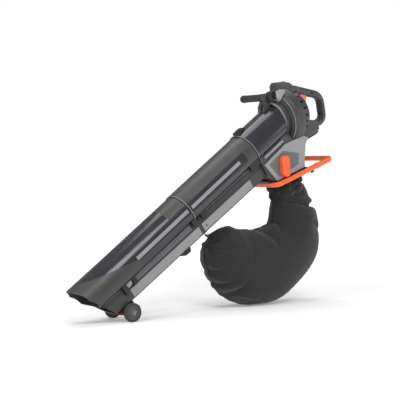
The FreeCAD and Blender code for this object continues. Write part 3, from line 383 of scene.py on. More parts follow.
def clothMaterial(name, facts):
    made, tree, shader = newMaterial(name)
    weave = place(tree, weaveGroup, Threads=facts["threads"])
    dust = place(tree, dustGroup, Amount=0.12)
    slow = noiseOf(tree, objectSpot(tree), 9.0, 5.0, 0.6)
    tone = maths(tree, "ADD", maths(tree, "MULTIPLY", weave.outputs["Tone"], 0.6), maths(tree, "MULTIPLY", slow, 0.4))
    colour = mixColour(tree, ramp(tree, tone, 0.3, 0.7), *shades(facts["colour"], facts["spread"]))
    join(tree, mixColour(tree, dust.outputs["Mask"], colour, (0.12, 0.11, 0.10)), shader.inputs["Base Color"])
    join(tree, mixValue(tree, ramp(tree, slow, 0.3, 0.7), *facts["rough"]), shader.inputs["Roughness"])
    shader.inputs["Sheen Weight"].default_value = facts["sheen"]
    shader.inputs["Sheen Roughness"].default_value = 0.5
    shader.inputs["Specular IOR Level"].default_value = 0.25
    addBump(tree, shader, weave.outputs["Height"], facts["depth"])
    return made


finish = {name: plasticMaterial(name, facts) for name, facts in plastics.items()}
finish["suctionTube"] = tubeMaterial("suctionTube", tubeFinish)
finish.update({name: metalMaterial(name, facts) for name, facts in metals.items()})
finish.update({name: clothMaterial(name, facts) for name, facts in cloths.items()})

finishOfSlot = {
    "tube_dark": "suctionTube", "housing_dark": "housingSatin", "black_plastic": "blackTextured",
    "pale_grey": "paleSatin", "panel_grey": "panelTextured", "orange": "orangeGloss", "dark_red": "darkRedSatin",
    "wheel_tyre": "tyreRubber", "wheel_hub": "hubGrey", "steel": "turnedSteel", "laminations": "laminatedIron",
    "carbon": "pressedCarbon", "fan_plastic": "fanBlack", "bag_cloth": "bagCloth", "webbing": "strapWebbing",
}
for part in frame["record"]["subparts"]:
    item = nodes[part["node"]]
    item.data.materials.clear()
    item.data.materials.append(finish[finishOfSlot[part["material_slot"]]])
nodes["strap_ring"].data.materials[0] = finish["platedRing"]
nodes["side_grip"].data.materials[0] = finish["softTouch"]
print("materials on every part:", len(bpy.data.materials))


# ---- mesh helpers

def addPiece(name, points, faces, body, look, slot, smooth=35):
    mesh = bpy.data.meshes.new(name)
    mesh.from_pydata([tuple(p) for p in points], [], faces)
    mesh.validate()
    mesh.update()
    mesh.materials.append(finish[look])
    piece = bpy.data.objects.new(name, mesh)
    bpy.context.scene.collection.objects.link(piece)
    if smooth:
        mesh.shade_smooth()
        mesh.set_sharp_from_angle(angle=math.radians(smooth))
    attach(piece, body)
    return piece


def loft(rings, closed=True, ends=True):
    # faces that join rings of equal count into one skin
    count = len(rings[0])
    points = [p for ring in rings for p in ring]
    faces = []
    for i in range(len(rings) - (1 if not closed else 0)):
        for j in range(count):
            a = i * count
            b = ((i + 1) % len(rings)) * count
            faces.append((a + j, a + (j + 1) % count, b + (j + 1) % count, b + j))
    if ends and not closed:
        faces.append(tuple(reversed(range(count))))
        faces.append(tuple(range(len(points) - count, len(points))))
    return points, faces


def bead(path, radius, sides=10, closed=False, flat=1.0, up=None):
    # a round or flattened bar along a path
    rings = []
    count = len(path)
    for i, point in enumerate(path):
        before = path[i - 1] if closed or i else path[i]
        after = path[(i + 1) % count] if closed or i < count - 1 else path[i]
        run = (after - before).normalized()
        side = (up or Vector((0, 1, 0))).cross(run)
        if side.length < 0.05:
            side = Vector((1, 0, 0)).cross(run)
        side.normalize()
        lift = run.cross(side)
        rings.append([point + side * math.cos(t) * radius + lift * math.sin(t) * radius * flat
                      for t in (2 * math.pi * k / sides for k in range(sides))])
    return loft(rings, closed=closed)


def gather(*shapes):
    points, faces = [], []
    for some, those in shapes:
        shift = len(points)
        points += some
        faces += [tuple(i + shift for i in face) for face in those]
    return points, faces


def surfaceOf(piece):
    solved = piece.evaluated_get(bpy.context.evaluated_depsgraph_get())
    mesh = solved.to_mesh()
    points = [piece.matrix_world @ v.co for v in mesh.vertices]
    tree = BVHTree.FromPolygons(points, [tuple(p.vertices) for p in mesh.polygons])
    solved.to_mesh_clear()
    return tree


def turnedShape(where, profile, sides=64, centre=(0, 0, 0), axis="X"):
    # a closed profile of (distance, radius) turned about an axis of a layout
    rings = []
    for k in range(sides):
        angle = 2 * math.pi * k / sides
        ring = []
        for distance, radius in profile:
            a, b = radius * math.cos(angle), radius * math.sin(angle)
            offset = {"X": (distance, a, b), "Y": (a, distance, b)}[axis]
            ring.append(spot(where, *(c + o for c, o in zip(centre, offset))))
        rings.append(ring)
    return loft(rings)


def softBlock(where, low, high, rounding=1.0, steps=3, turn=None):
    # a block with rounded edges, made as a cross section lofted along Y
    (x0, y0, z0), (x1, y1, z1) = low, high
    rings = []
    layers = [(0, rounding), (rounding * 0.3, rounding * 0.3), (rounding, 0)]
    heights = [(y0 + d, s) for d, s in layers] + [(y1 - d, s) for d, s in reversed(layers)]
    for y, shrink in heights:
        ring = []
        for cx, cz, start in ((x1, z1, 0), (x0, z1, 90), (x0, z0, 180), (x1, z0, 270)):
            px = cx - (rounding if cx == x1 else -rounding)
            pz = cz - (rounding if cz == z1 else -rounding)
            for k in range(steps + 1):
                angle = math.radians(start + 90 * k / steps)
                reach = rounding - shrink
                x, z = px + reach * math.cos(angle), pz + reach * math.sin(angle)
                if turn:
                    (ox, oz), degrees = turn
                    c, s = math.cos(math.radians(degrees)), math.sin(math.radians(degrees))
                    x, z = ox + (x - ox) * c - (z - oz) * s, oz + (x - ox) * s + (z - oz) * c
                ring.append(spot(where, x, y, z))
        rings.append(ring)
    return loft(rings, closed=False)


def dOutline(radius, flat, corner=10.0, steps=60):
    # round over the top, flat underneath, as (across, rise)
    depth = flat - corner
    reach = math.sqrt((radius - corner) ** 2 - depth ** 2)
    turn = math.atan2(-depth, reach)
    points = []
    for k in range(steps + 1):
        angle = turn + (math.pi - 2 * turn) * k / steps
        points.append((radius * math.cos(angle), radius * math.sin(angle)))
    for side, first, last in ((-1, math.pi - turn, 1.5 * math.pi), (1, 1.5 * math.pi, 2 * math.pi + turn)):
        for k in range(1, 9):
            angle = first + (last - first) * k / 8
            points.append((side * reach + corner * math.cos(angle), -depth + corner * math.sin(angle)))
        if side < 0:
            points += [(reach * (k / 8 - 1), -flat) for k in range(1, 16)]
    return points[:-1]


# ---- suction tube details

mouthRim = {"low": -86.0, "step": 19.0, "reach": 22.0, "bow": 5.6, "thickness": 1.7}


def mouthEdge(rise):
    # where the scalloped mouth ends, for a height on the tube
    if rise < -28:
        return mouthRim["low"]
    if rise < 20:
        t = (rise + 28) / 48
        return mouthRim["low"] - mouthRim["step"] * t + mouthRim["bow"] * 4 * t * (1 - t)
    t = min(1, (rise - 20) / 47)
    start = mouthRim["low"] - mouthRim["step"]
    return start - mouthRim["reach"] * t + mouthRim["bow"] * 4 * t * (1 - t)


def tubeDetails():
    rim = [spot("tube", mouthEdge(z) + 1.4, y, z) for y, z in dOutline(63.6, 24.6, 9.0, 90)]
    addPiece("mouth_rim_bead", *bead(rim, mouthRim["thickness"] / 1000, closed=True), "body", "suctionTube", "tube_dark")
    seams = []
    for station, radius, flat in ((383.2, 67.6, 27.1), (741.2, 70.1, 28.1)):
        path = [spot("tube", station, y, z) for y, z in dOutline(radius, flat, 10.5, 90)]
        seams.append(bead(path, 0.0011, closed=True))
    addPiece("joint_seam_beads", *gather(*seams), "body", "paleSatin", "pale_grey")
    gaps = []
    for station, radius, flat in ((380.6, 65.2, 26.2), (738.6, 67.7, 27.2)):
        path = [spot("tube", station, y, z) for y, z in dOutline(radius, flat, 10.5, 90)]
        gaps.append(bead(path, 0.0012, closed=True))
    addPiece("joint_gap_seals", *gather(*gaps), "body", "blackTextured", "black_plastic")
    # the snap window behind the first joint, a shallow oval ring lying on the tube
    ring = []
    for k in range(36):
        angle = 2 * math.pi * k / 36
        around = math.radians(146) + math.sin(angle) * 0.075
        ring.append(spot("tube", 398 + 9 * math.cos(angle), 68.0 * math.cos(around), 68.0 * math.sin(around)))
    addPiece("snap_window_ring", *bead(ring, 0.0009, closed=True), "body", "blackTextured", "black_plastic")


tubeDetails()

ductFacts = {"top": 30.0, "shoulder": 38.0, "half": 47.0, "groove": (50.0, 67.0), "base": (94.0, 113.0),
             "nozzle": -76.0, "end": 741.0}


def ductLevel(key, station):
    front, rear = ductFacts[key]
    return front + (rear - front) * (station - ductFacts["nozzle"]) / (ductFacts["end"] - ductFacts["nozzle"])


def ductRing(station, grow):
    groove = ductLevel("groove", station)
    base = ductLevel("base", station)
    half = [(38.0 + grow, -30.0 - 0.4), (47.0 + grow, -groove), (45.2 + grow, -groove - 2), (47.0 + grow, -groove - 4),
            (47.0 + grow, -base + 8), (39.0 + grow, -base - grow)]
    return half + [(-y, z) for y, z in reversed(half)]


def onFacet(station, share, lift):
    # a point on the sloping upper facet of the duct, lifted off it, as (across, rise)
    drop = ductLevel("groove", station) - ductFacts["top"]
    width = ductFacts["half"] - ductFacts["shoulder"]
    length = math.hypot(drop, width)
    return (ductFacts["shoulder"] + width * share + lift * drop / length,
            -ductFacts["top"] - drop * share + lift * width / length)


def ductDetails():
    # a raised collar at the split of the duct, and a dark gasket line beside it
    for name, first, last, grow, look, slot in (
        ("duct_joint_collar", 399.5, 404.5, 1.1, "housingSatin", "housing_dark"),
        ("duct_joint_gap", 396.6, 398.6, 0.3, "blackTextured", "black_plastic"),
        ("duct_rear_collar", 729.0, 738.0, 1.2, "housingSatin", "housing_dark"),
    ):
        rings = []
        for station, extra in ((first, -0.6), (first + 0.6, grow), (last - 0.6, grow), (last, -0.6)):
            rings.append([spot("tube", station, y, z) for y, z in ductRing(station, extra)])
        points, faces = loft(rings, closed=False, ends=False)
        addPiece(name, points, faces, "body", look, slot, smooth=25)
    # dark recess on the upper facet of the upper duct
    lines = []
    for side in (-1, 1):
        path = []
        for k in range(25):
            station = 430 + 230 * k / 24
            groove = ductLevel("groove", station)
            share = 0.52
            across = 38.0 + 9.0 * share + 0.35
            rise = -30.0 - (groove - 30.0) * share
            path.append(spot("tube", station, side * across, rise))
        lines.append(bead(path, 0.0030, sides=8, flat=0.35))
    addPiece("duct_facet_inlays", *gather(*lines), "body", "suctionTube", "tube_dark")
    # paler panels on the upper facets of the lower duct are painted light, where light from above and to the left falls
    # on these facets; the pale lines along their upper edges are painted highlights
    paintedLightPanels, paintedHighlightLines = [], []
    for side in (-1, 1):
        rings = []
        for k in range(25):
            station = 84 + 276 * k / 24
            corners = ((0.40, 0.35), (0.94, 0.35), (0.94, -0.4), (0.40, -0.4))
            rings.append([spot("tube", station, side * y, z) for y, z in (onFacet(station, *c) for c in corners)])
        paintedLightPanels.append(loft(rings, closed=False))
        # pale lines along the upper edge of each facet, on the lower and upper duct: painted highlights
        for first, last in ((-58, 14), (82, 362), (444, 690)):
            path = []
            for k in range(21):
                station = first + (last - first) * k / 20
                y, z = onFacet(station, 0.36, 0.2)
                path.append(spot("tube", station, side * y, z))
            paintedHighlightLines.append(bead(path, 0.0011, sides=8))
    # the paler facet panels are painted light, a lighter sheet where the lamps light the facet
    addPiece("duct_facet_panels", *gather(*paintedLightPanels), "body", "panelTextured", "panel_grey", smooth=25)
    # the pale shoulder lines are painted highlights
    addPiece("duct_shoulder_lines", *gather(*paintedHighlightLines), "body", "paleSatin", "pale_grey")


ductDetails()

# small crosshead screws, each a dome with a cut cross, at (layout, point, direction)
screwSpots = [
    ("body", (206, -16.9, 30), (0, -1, 0)), ("body", (231, -16.9, -25), (0, -1, 0)),
    ("body", (206, 16.9, 30), (0, 1, 0)), ("body", (231, 16.9, -25), (0, 1, 0)),
    ("body", (84, -20.2, 96), (0, -1, 0)), ("body", (84, 20.2, 96), (0, 1, 0)),
    ("body", (70, -36.2, -96), (0, -1, 0)), ("body", (128, -36.2, -90), (0, -1, 0)),
    ("body", (70, 36.2, -96), (0, 1, 0)), ("body", (128, 36.2, -90), (0, 1, 0)),
    ("tube", (418, -49.3, -82), (0, -1, 0)), ("tube", (418, 49.3, -82), (0, 1, 0)),
]


def screwShape(where, point, direction):
    centre = spot(where, *point)
    out = heading(where, *direction)
    first = out.orthogonal().normalized()
    second = out.cross(first)
    rings = []
    for height, radius in ((-0.3, 3.1), (0.35, 3.1), (0.65, 2.7), (0.7, 1.6)):
        ring = []
        for k in range(32):
            angle = 2 * math.pi * k / 32
            ring.append(centre + (first * math.cos(angle) + second * math.sin(angle)) * radius / 1000
                        + out * height / 1000)
        rings.append(ring)
    cross = []
    for k in range(32):
        angle = 2 * math.pi * k / 32
        reach = 1.5 if k % 8 in (7, 0, 1) else 0.45
        cross.append(centre + (first * math.cos(angle) + second * math.sin(angle)) * reach / 1000 + out * 0.0007)
    rings.append(cross)
    rings.append([p - out * 0.0006 for p in cross])
    return loft(rings, closed=False)


addPiece("housing_screws", *gather(*(screwShape(*facts) for facts in screwSpots)), "body", "blackTextured",
         "black_plastic")


# ---- fan housing and handle details

def fanDetails():
    lines = [turnedShape("body", [(a - w, r - h), (a - w, r + h), (a + w, r + h), (a + w, r - h)], 128)
             for a, r, w, h in ((-2.6, 97.2, 0.7, 0.9), (-12.2, 76.6, 0.7, 0.8))]
    lines.append(turnedShape("body", [(-23.9, 64), (-24.6, 64.6), (-24.6, 72.4), (-23.9, 73)], 128))
    addPiece("fan_rim_lines", *gather(*lines), "body", "paleSatin", "pale_grey")
    step = turnedShape("body", [(-13.2, 78), (-13.9, 78), (-10.75, 89.8), (-10.2, 89.8)], 128)
    addPiece("fan_step_ring", *step, "body", "blackTextured", "black_plastic")
    groove = turnedShape("body", [(21.4, 105.2), (21.4, 106.25), (22.8, 106.25), (22.8, 105.2)], 128)
    addPiece("fan_split_line", *groove, "body", "blackTextured", "black_plastic")
    # short ribs round the back of the fan housing, over the motor
    ribs = []
    for k in range(9):
        angle = math.radians(198 + 16 * k)
        cy, cz = math.cos(angle), math.sin(angle)
        path = [spot("body", a, r * cy, r * cz) for a, r in ((49, 76.4), (60, 76.8), (78, 76.8), (93, 76.4))]
        ribs.append(bead(path, 0.0013, sides=8))
    addPiece("motor_ribs", *gather(*ribs), "body", "housingSatin", "housing_dark")


fanDetails()

handlePath = ((106, 82.6), (238, 16.5), (224, -77), (165.6, -81))
handleBends = (42, 30)


def bentPath(points, bends, steps=14):
    # straight runs joined by arcs, as (along, rise)
    corners = [Vector(p) for p in points]
    path = [corners[0]]
    for i, radius in enumerate(bends, 1):
        into = (corners[i] - corners[i - 1]).normalized()
        out = (corners[i + 1] - corners[i]).normalized()
        half = math.acos(max(-1, min(1, into.dot(out)))) / 2
        reach = radius * math.tan(half)
        start, leaveAt = corners[i] - into * reach, corners[i] + out * reach
        turn = into.x * out.y - into.y * out.x
        side = Vector((-into.y, into.x)) * (1 if turn > 0 else -1)
        centre = start + side * radius
        for k in range(steps + 1):
            share = k / steps
            angle = 2 * half * share * (1 if turn > 0 else -1)
            arm = start - centre
            path.append(centre + Vector((arm.x * math.cos(angle) - arm.y * math.sin(angle),
                                         arm.x * math.sin(angle) + arm.y * math.cos(angle))))
    path.append(corners[-1])
    return path


gripPad = {"from": 12, "to": 34, "lift": 0.5, "reach": 9.0}


def handleDetails():
    path = bentPath(handlePath, handleBends)
    # seam ring where the handle leaves the upper housing
    run = (path[1] - path[0]).normalized()
    across = Vector((-run.y, run.x))
    start = path[0] + run * 20
    ring = []
    for k in range(48):
        angle = 2 * math.pi * k / 48
        p = start + across * 15.25 * math.sin(angle)
        ring.append(spot("body", p.x, 17.25 * math.cos(angle), p.y))
    addPiece("handle_seam_ring", *bead(ring, 0.0008, closed=True), "body", "paleSatin", "pale_grey")
    # soft pad on the inner side of the rear bar, lying a little proud of the shells
    rings = []
    inner = path[9:31]
    for i, point in enumerate(inner):
        before, after = inner[max(0, i - 1)], inner[min(len(inner) - 1, i + 1)]
        direction = (after - before).normalized()
        outward = Vector((direction.y, -direction.x))
        taper = min(1, i / 2, (len(inner) - 1 - i) / 2)
        ring = []
        for k in range(13):
            angle = math.radians(-62 + 124 * k / 12)
            lift = 15 + (gripPad["lift"] + 0.25 * (i % 2)) * taper * math.cos(angle * 0.7) - 0.2
            p = point + outward * lift * math.cos(angle)
            ring.append(spot("body", p.x, (17 + gripPad["lift"] * taper) * math.sin(angle), p.y))
        for k in reversed(range(13)):
            angle = math.radians(-62 + 124 * k / 12)
            p = point + outward * 13.6 * math.cos(angle)
            ring.append(spot("body", p.x, 15.4 * math.sin(angle), p.y))
        rings.append(ring)
    addPiece("handle_soft_pad", *loft(rings, closed=False), "body", "softTouch", "black_plastic", smooth=50)
    # the line where the two shells meet, round the outer side of the bar
    seam = []
    for i, point in enumerate(path[1:-1], 1):
        direction = (path[i + 1] - path[i - 1]).normalized()
        outward = Vector((-direction.y, direction.x))
        p = point + outward * 15.0
        seam.append(spot("body", p.x, 0, p.y))
    addPiece("handle_shell_seam", *bead(seam, 0.0006, sides=8), "body", "blackTextured", "black_plastic")


handleDetails()


def controlDetails():
    # ridges across the front of the trigger
    ridges = []
    surface = surfaceOf(nodes["trigger"])
    for k in range(6):
        hit = surface.ray_cast(spot("body", 115, 0, 38 - 4.2 * k), heading("body", 1, 0, 0))[0]
        if hit:
            ridges.append(bead([hit + Vector((0, y / 1000, 0)) for y in (-6, -3, 0, 3, 6)], 0.0009, sides=8))
    addPiece("trigger_ridges", *gather(*ridges), "trigger", "orangeGloss", "orange")
    # ribs across the knob and a pale pointer line
    ribs = []
    lean = math.radians(14)
    for k in range(7):
        reach = -22 + 44 * k / 6
        cx, cz = -84 + math.sin(lean) * reach, -157 + math.cos(lean) * reach
        side = Vector((math.cos(lean), -math.sin(lean)))
        ribs.append(bead([spot("body", cx + side.x * t, -84.5, cz + side.y * t) for t in (-11, -5, 0, 5, 9)],
                         0.0008, sides=8))
    addPiece("knob_ribs", *gather(*ribs), "selector", "orangeGloss", "orange")
    # number ticks beside the speed dial
    ticks = []
    for x in (54, 62, 70):
        top = 112 + 0.349 * (89 - x)
        ticks.append(softBlock("body", (x, -3.8, top - 0.6), (x + 1.1, 0.4, top + 0.4), 0.3))
    addPiece("dial_ticks", *gather(*ticks), "body", "paleSatin", "pale_grey")
    # the grip's ribs and its end rings
    rings = []
    for y in (20, 24, 28, 118, 122):
        rings.append(bead([spot("tube", 944 + 13.6 * math.cos(t), y, 102.5 + 13.6 * math.sin(t))
                           for t in (2 * math.pi * k / 40 for k in range(40))], 0.0008, closed=True))
    addPiece("side_grip_rings", *gather(*rings), "side_grip", "softTouch", "black_plastic")
    # a round bolt head on the near side of the grip's arm
    bolt = turnedShape("tube", [(1.2, 0.01), (1.2, 5.0), (0.2, 6.4), (-2.6, 6.6), (-2.6, 0.01)], 6,
                       centre=(944, -3.4, 102.5), axis="Y")
    addPiece("side_grip_bolt", *bolt, "side_grip", "turnedSteel", "steel")


controlDetails()


# ---- bag frame details

def frameDetails():
    step = softBlock("body", (60, -81.8, -218.6), (75, -67.4, -199.4), 1.4)
    addPiece("frame_step_sleeve", *step, "body", "orangeGloss", "orange")
    tab = softBlock("body", (31, -79, -226), (43, -71, -217.5), 1.5)
    addPiece("frame_under_tab", *tab, "body", "darkRedSatin", "dark_red")


frameDetails()


# ---- wheels

wheelFacts = {"radius": 31.0, "width": 16.0, "track": 116.0, "treads": 24}


def wheelDetails(side, body):
    # tread bars, a pale hub ring and a dark cap on the outer face
    centre = side * wheelFacts["track"] / 2
    bars = []
    for k in range(wheelFacts["treads"]):
        angle = 2 * math.pi * k / wheelFacts["treads"]
        out = (math.cos(angle), math.sin(angle))
        path = [spot("tube", out[0] * 30.95, centre + y, -119 + out[1] * 30.95) for y in (-5, 0, 5)]
        bars.append(bead(path, 0.0009, sides=8, up=heading("tube", out[0], 0, out[1])))
    addPiece(body + "_tread", *gather(*bars), body, "tyreRubber", "wheel_tyre")
    face = side * (wheelFacts["width"] / 2)
    ring = turnedShape("tube", [(face * 0.82, 9.6), (face * 1.01, 9.4), (face * 1.01, 7.8), (face * 0.82, 7.6)], 48,
                       centre=(0, centre, -119), axis="Y")
    addPiece(body + "_hub_ring", *ring, body, "paleSatin", "pale_grey")
    spokes = []
    for k in range(6):
        angle = 2 * math.pi * k / 6
        c, s = math.cos(angle), math.sin(angle)
        path = [spot("tube", c * r, centre + face * 0.74, -119 + s * r) for r in (12, 16, 20.5)]
        spokes.append(bead(path, 0.0014, sides=8))
    addPiece(body + "_spokes", *gather(*spokes), body, "hubGrey", "wheel_hub")


wheelDetails(-1, "near_wheel")
wheelDetails(1, "far_wheel")
print("hard details built")


# ---- collecting bag

bagFacts = {
    # inner point, outer point and half thickness of each rib, on the ground layout
    "ribs": (((661, 421), (800, 470), 56), ((667, 398), (806, 446), 54), ((668, 380), (838, 412), 62),
             ((670, 352), (858, 366), 67), ((669, 320), (886, 312), 74), ((652, 297), (871, 150), 84),
             ((600, 286), (704, 12), 87), ((522, 284), (530, -2), 86), ((462, 291), (412, 50), 79),
             ((412, 284), (354, 142), 62), ((376, 258), (346, 206), 33)),
    "rings": 88, "around": 96, "shrink": 4.0, "voxel": 0.005, "pressure": 4.0, "cap": 0.011, "frames": 20, "neck": 25.4,
}


def smoothRibs(ribs, count):
    # ribs in between, on a curve through the given ones
    rows = [Vector((a[0], a[1], b[0])) for a, b, t in ribs], [Vector((b[1], t, 0)) for a, b, t in ribs]
    made = []
    last = len(ribs) - 1
    for k in range(count):
        level = last * k / (count - 1)
        i = min(int(level), last - 1)
        t = level - i
        values = []
        for row in rows:
            p = [row[max(0, min(last, i + d))] for d in (-1, 0, 1, 2)]
            values.append(0.5 * (2 * p[1] + (p[2] - p[0]) * t + (2 * p[0] - 5 * p[1] + 4 * p[2] - p[3]) * t * t
                                 + (3 * p[1] - p[0] - 3 * p[2] + p[3]) * t ** 3))
        made.append((Vector((values[0].x, values[0].y)), Vector((values[0].z, values[1].x)), values[1].y, level))
    return made


def foldDepth(level, angle, side):
    # how far the cloth is pushed in or out, in millimetres; level counts ribs down from the neck
    depth = 0.0
    # gathers that hang from the neck and die out
    fade = math.exp(-level / 1.1)
    depth += fade * (3.2 * math.sin(9 * angle + 0.8 * side) + 2.0 * math.sin(17 * angle + 2.1))
    # pinches across the upper bag, deeper at the outer side
    outer = 0.5 + 0.5 * math.cos(angle)
    for middle, width, deep in ((1.05, 0.28, 7.5), (2.55, 0.26, 6.5), (3.3, 0.22, 3.0)):
        slant = middle + 0.35 * math.sin(angle * 1.0 + side * 0.6)
        depth -= deep * outer * math.exp(-((level - slant) / width) ** 2)
        depth += 0.5 * deep * outer * math.exp(-((level - slant - 2 * width) / (1.4 * width)) ** 2)
    # creases at the lower end of the left lobe
    for middle, width, deep, turn in ((7.7, 0.18, 4.5, 0.5), (8.35, 0.16, 4.0, 0.2), (9.1, 0.14, 3.5, -0.4)):
        slant = middle + 0.5 * math.sin(angle + turn)
        depth -= deep * (0.35 + 0.65 * outer) * math.exp(-((level - slant) / width) ** 2)
    # gathers towards the strap
    fade = math.exp(-max(0, 10 - level) / 0.9)
    depth += fade * 3.0 * math.sin(8 * angle + 1.0)
    return depth


def bagRings():
    rings = []
    for inner, outer, thick, level in smoothRibs(bagFacts["ribs"], bagFacts["rings"]):
        middle = (inner + outer) / 2
        half = (outer - inner) / 2
        reach = half.length
        along = half / reach
        ring = []
        for k in range(bagFacts["around"]):
            angle = 2 * math.pi * k / bagFacts["around"]
            c, s = math.cos(angle), math.sin(angle)
            # a fuller shape than an ellipse, tighter at the inner and outer edges
            power = 0.86
            cx = math.copysign(abs(c) ** power, c)
            sy = math.copysign(abs(s) ** power, s)
            wrinkle = foldDepth(level, angle, 1 if s > 0 else -1)
            drift = noise.noise(Vector((level * 0.7, c * 1.4, s * 1.4))) * 4.0
            push = wrinkle + drift - bagFacts["shrink"]
            p = middle + along * (reach + push) * cx
            z = max(p.y, 1.2)
            ring.append(layoutOf["ground"] @ (Vector((p.x, (thick + push) * sy, z)) / 1000))
        rings.append(ring)
    return rings


def capRing(ring, steps, bulge):
    # closes the end of the bag with shrinking rings
    centre = sum(ring, Vector()) / len(ring)
    made = []
    for k in range(1, steps):
        share = math.cos(math.pi / 2 * k / steps)
        made.append([centre + (p - centre) * share + bulge * math.sin(math.pi / 2 * k / steps) for p in ring])
    return made


def inflate(piece, pinned):
    # pressure fills the shell against its pinned ends
    mesh = piece.data
    group = piece.vertex_groups.new(name="held")
    for vertex in mesh.vertices:
        weight = pinned(vertex.co)
        if weight > 0:
            group.add([vertex.index], weight, "REPLACE")
    start = [vertex.co.copy() for vertex in mesh.vertices]
    cloth = piece.modifiers.new("Cloth", "CLOTH")
    settings = cloth.settings
    settings.quality = 5
    settings.mass = 0.15
    settings.tension_stiffness = 25
    settings.compression_stiffness = 18
    settings.shear_stiffness = 12
    settings.bending_stiffness = 0.35
    settings.use_pressure = True
    settings.uniform_pressure_force = bagFacts["pressure"]
    settings.vertex_group_mass = "held"
    settings.effector_weights.gravity = 0.0
    cloth.point_cache.frame_start = 1
    cloth.point_cache.frame_end = bagFacts["frames"]
    scene = bpy.context.scene
    for step in range(1, bagFacts["frames"] + 1):
        scene.frame_set(step)
    solved = piece.evaluated_get(bpy.context.evaluated_depsgraph_get())
    moved = [vertex.co.copy() for vertex in solved.data.vertices]
    piece.modifiers.remove(cloth)
    for vertex, first, last in zip(mesh.vertices, start, moved):
        step = last - first
        if step.length > bagFacts["cap"]:
            step *= bagFacts["cap"] / step.length
        vertex.co = first + step
        vertex.co.z = max(vertex.co.z, 0.0012)
    scene.frame_set(1)
    mesh.update()


# Folds pressed into the filled bag: a line on the ground layout, its half width and its depth. A negative
# depth is a puff between folds.
folds = (
    (((836, 361), (754, 368), (689, 378)), 7.5, 11.0),
    (((796, 429), (728, 402), (661, 379)), 7.0, 9.5),
    (((808, 396), (740, 388)), 14.0, -6.0),
    (((684, 412), (680, 388), (672, 346)), 6.5, 6.0),
    (((600, 412), (628, 355), (608, 296)), 7.5, 7.5),
    (((650, 330), (668, 300), (662, 262)), 8.0, 5.0),
    (((338, 118), (379, 95), (432, 90)), 7.0, 5.5),
    (((318, 170), (354, 141), (396, 133)), 7.0, 4.5),
    (((346, 236), (384, 248), (424, 276)), 6.5, 6.0),
    (((348, 222), (400, 211), (440, 224)), 6.5, 5.0),
    (((425, 288), (476, 292)), 17.0, -7.0),
    (((440, 44), (504, 22), (560, 14)), 7.0, 5.0),
    (((868, 268), (813, 295), (724, 309)), 9.0, 5.5),
    (((560, 284), (600, 262), (640, 214)), 11.0, 4.0),
)


def onLine(line, x, z):
    # how far a point lies off a line, on which side, and how far along the line it is
    best = (1e9, 0.0, 0.0)
    for i in range(len(line) - 1):
        (ax, az), (bx, bz) = line[i], line[i + 1]
        dx, dz = bx - ax, bz - az
        span = dx * dx + dz * dz
        t = max(0.0, min(1.0, ((x - ax) * dx + (z - az) * dz) / span))
        offX, offZ = x - ax - dx * t, z - az - dz * t
        gap = math.hypot(offX, offZ)
        if gap < best[0]:
            side = math.copysign(gap, offX * dz - offZ * dx)
            best = (gap, side, (i + t) / (len(line) - 1))
    return best


def pressFolds(piece):
    # the folds wander a little, and differ between the near and far side
    toGround = layoutOf["ground"].inverted()
    normals = [vertex.normal.copy() for vertex in piece.data.vertices]
    for vertex, normal in zip(piece.data.vertices, normals):
        p = toGround @ vertex.co * 1000
        drift = noise.noise_vector(p * 0.022 + Vector((0, 40 if p.y > 0 else 0, 0))) * 9
        push = 0.0
        for line, width, depth in folds:
            gap, side, share = onLine(line, p.x + drift.x, p.z + drift.z)
            if gap > 4.5 * abs(width):
                continue
            fade = math.sin(math.pi * min(1.0, 0.12 + share * 0.88)) ** 0.6
            push -= depth * fade * math.exp(-(gap / width) ** 2)
            if depth > 0:
                push += 0.5 * depth * fade * math.exp(-((side - 2.0 * width) / (1.2 * width)) ** 2)
        vertex.co += normal * push / 1000
        vertex.co.z = max(vertex.co.z, 0.0012)
    piece.data.update()


def buildBag():
    rings = bagRings()
    tipAim = heading("ground", -26, 0, 14) * 0.012
    # the neck goes straight up to the underside of the plate
    lift = heading("body", 0, 0, 1) * bagFacts["neck"] / 1000
    neckRings = [[p + lift * share for p in rings[0]] for share in (1.0, 0.8, 0.6, 0.4, 0.2)]
    allRings = [*reversed(capRing(neckRings[0], 5, lift * 0)), *neckRings, *rings, *capRing(rings[-1], 6, tipAim)]
    points, faces = loft(allRings, closed=False)
    bag = addPiece("bag_shell", points, faces, "body", "bagCloth", "bag_cloth", smooth=0)
    remesh = bag.modifiers.new("Even", "REMESH")
    remesh.mode = "VOXEL"
    remesh.voxel_size = bagFacts["voxel"]
    bpy.context.view_layer.objects.active = bag
    bpy.context.view_layer.update()
    evened = bpy.data.meshes.new_from_object(bag.evaluated_get(bpy.context.evaluated_depsgraph_get()))
    bag.modifiers.clear()
    bag.data = evened
    bag.data.materials.clear()
    bag.data.materials.append(finish["bagCloth"])
    neck = spot("ground", 730, 0, 448)
    neckAim = heading("ground", -49, 0, 139)
    tip = spot("ground", 358, 0, 234)

    def held(point):
        top = (point - neck).dot(neckAim)
        if top > -0.012:
            return 1.0
        return 1.0 if (point - tip).length < 0.03 else 0.0

    inflate(bag, held)
    pressFolds(bag)
    bag.data.shade_smooth()
    divide = bag.modifiers.new("Smooth", "SUBSURF")
    divide.levels = 1
    divide.render_levels = 1
    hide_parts("collecting_bag")
    return bag


bag = buildBag()
print("bag shell:", len(bag.data.vertices), "points")


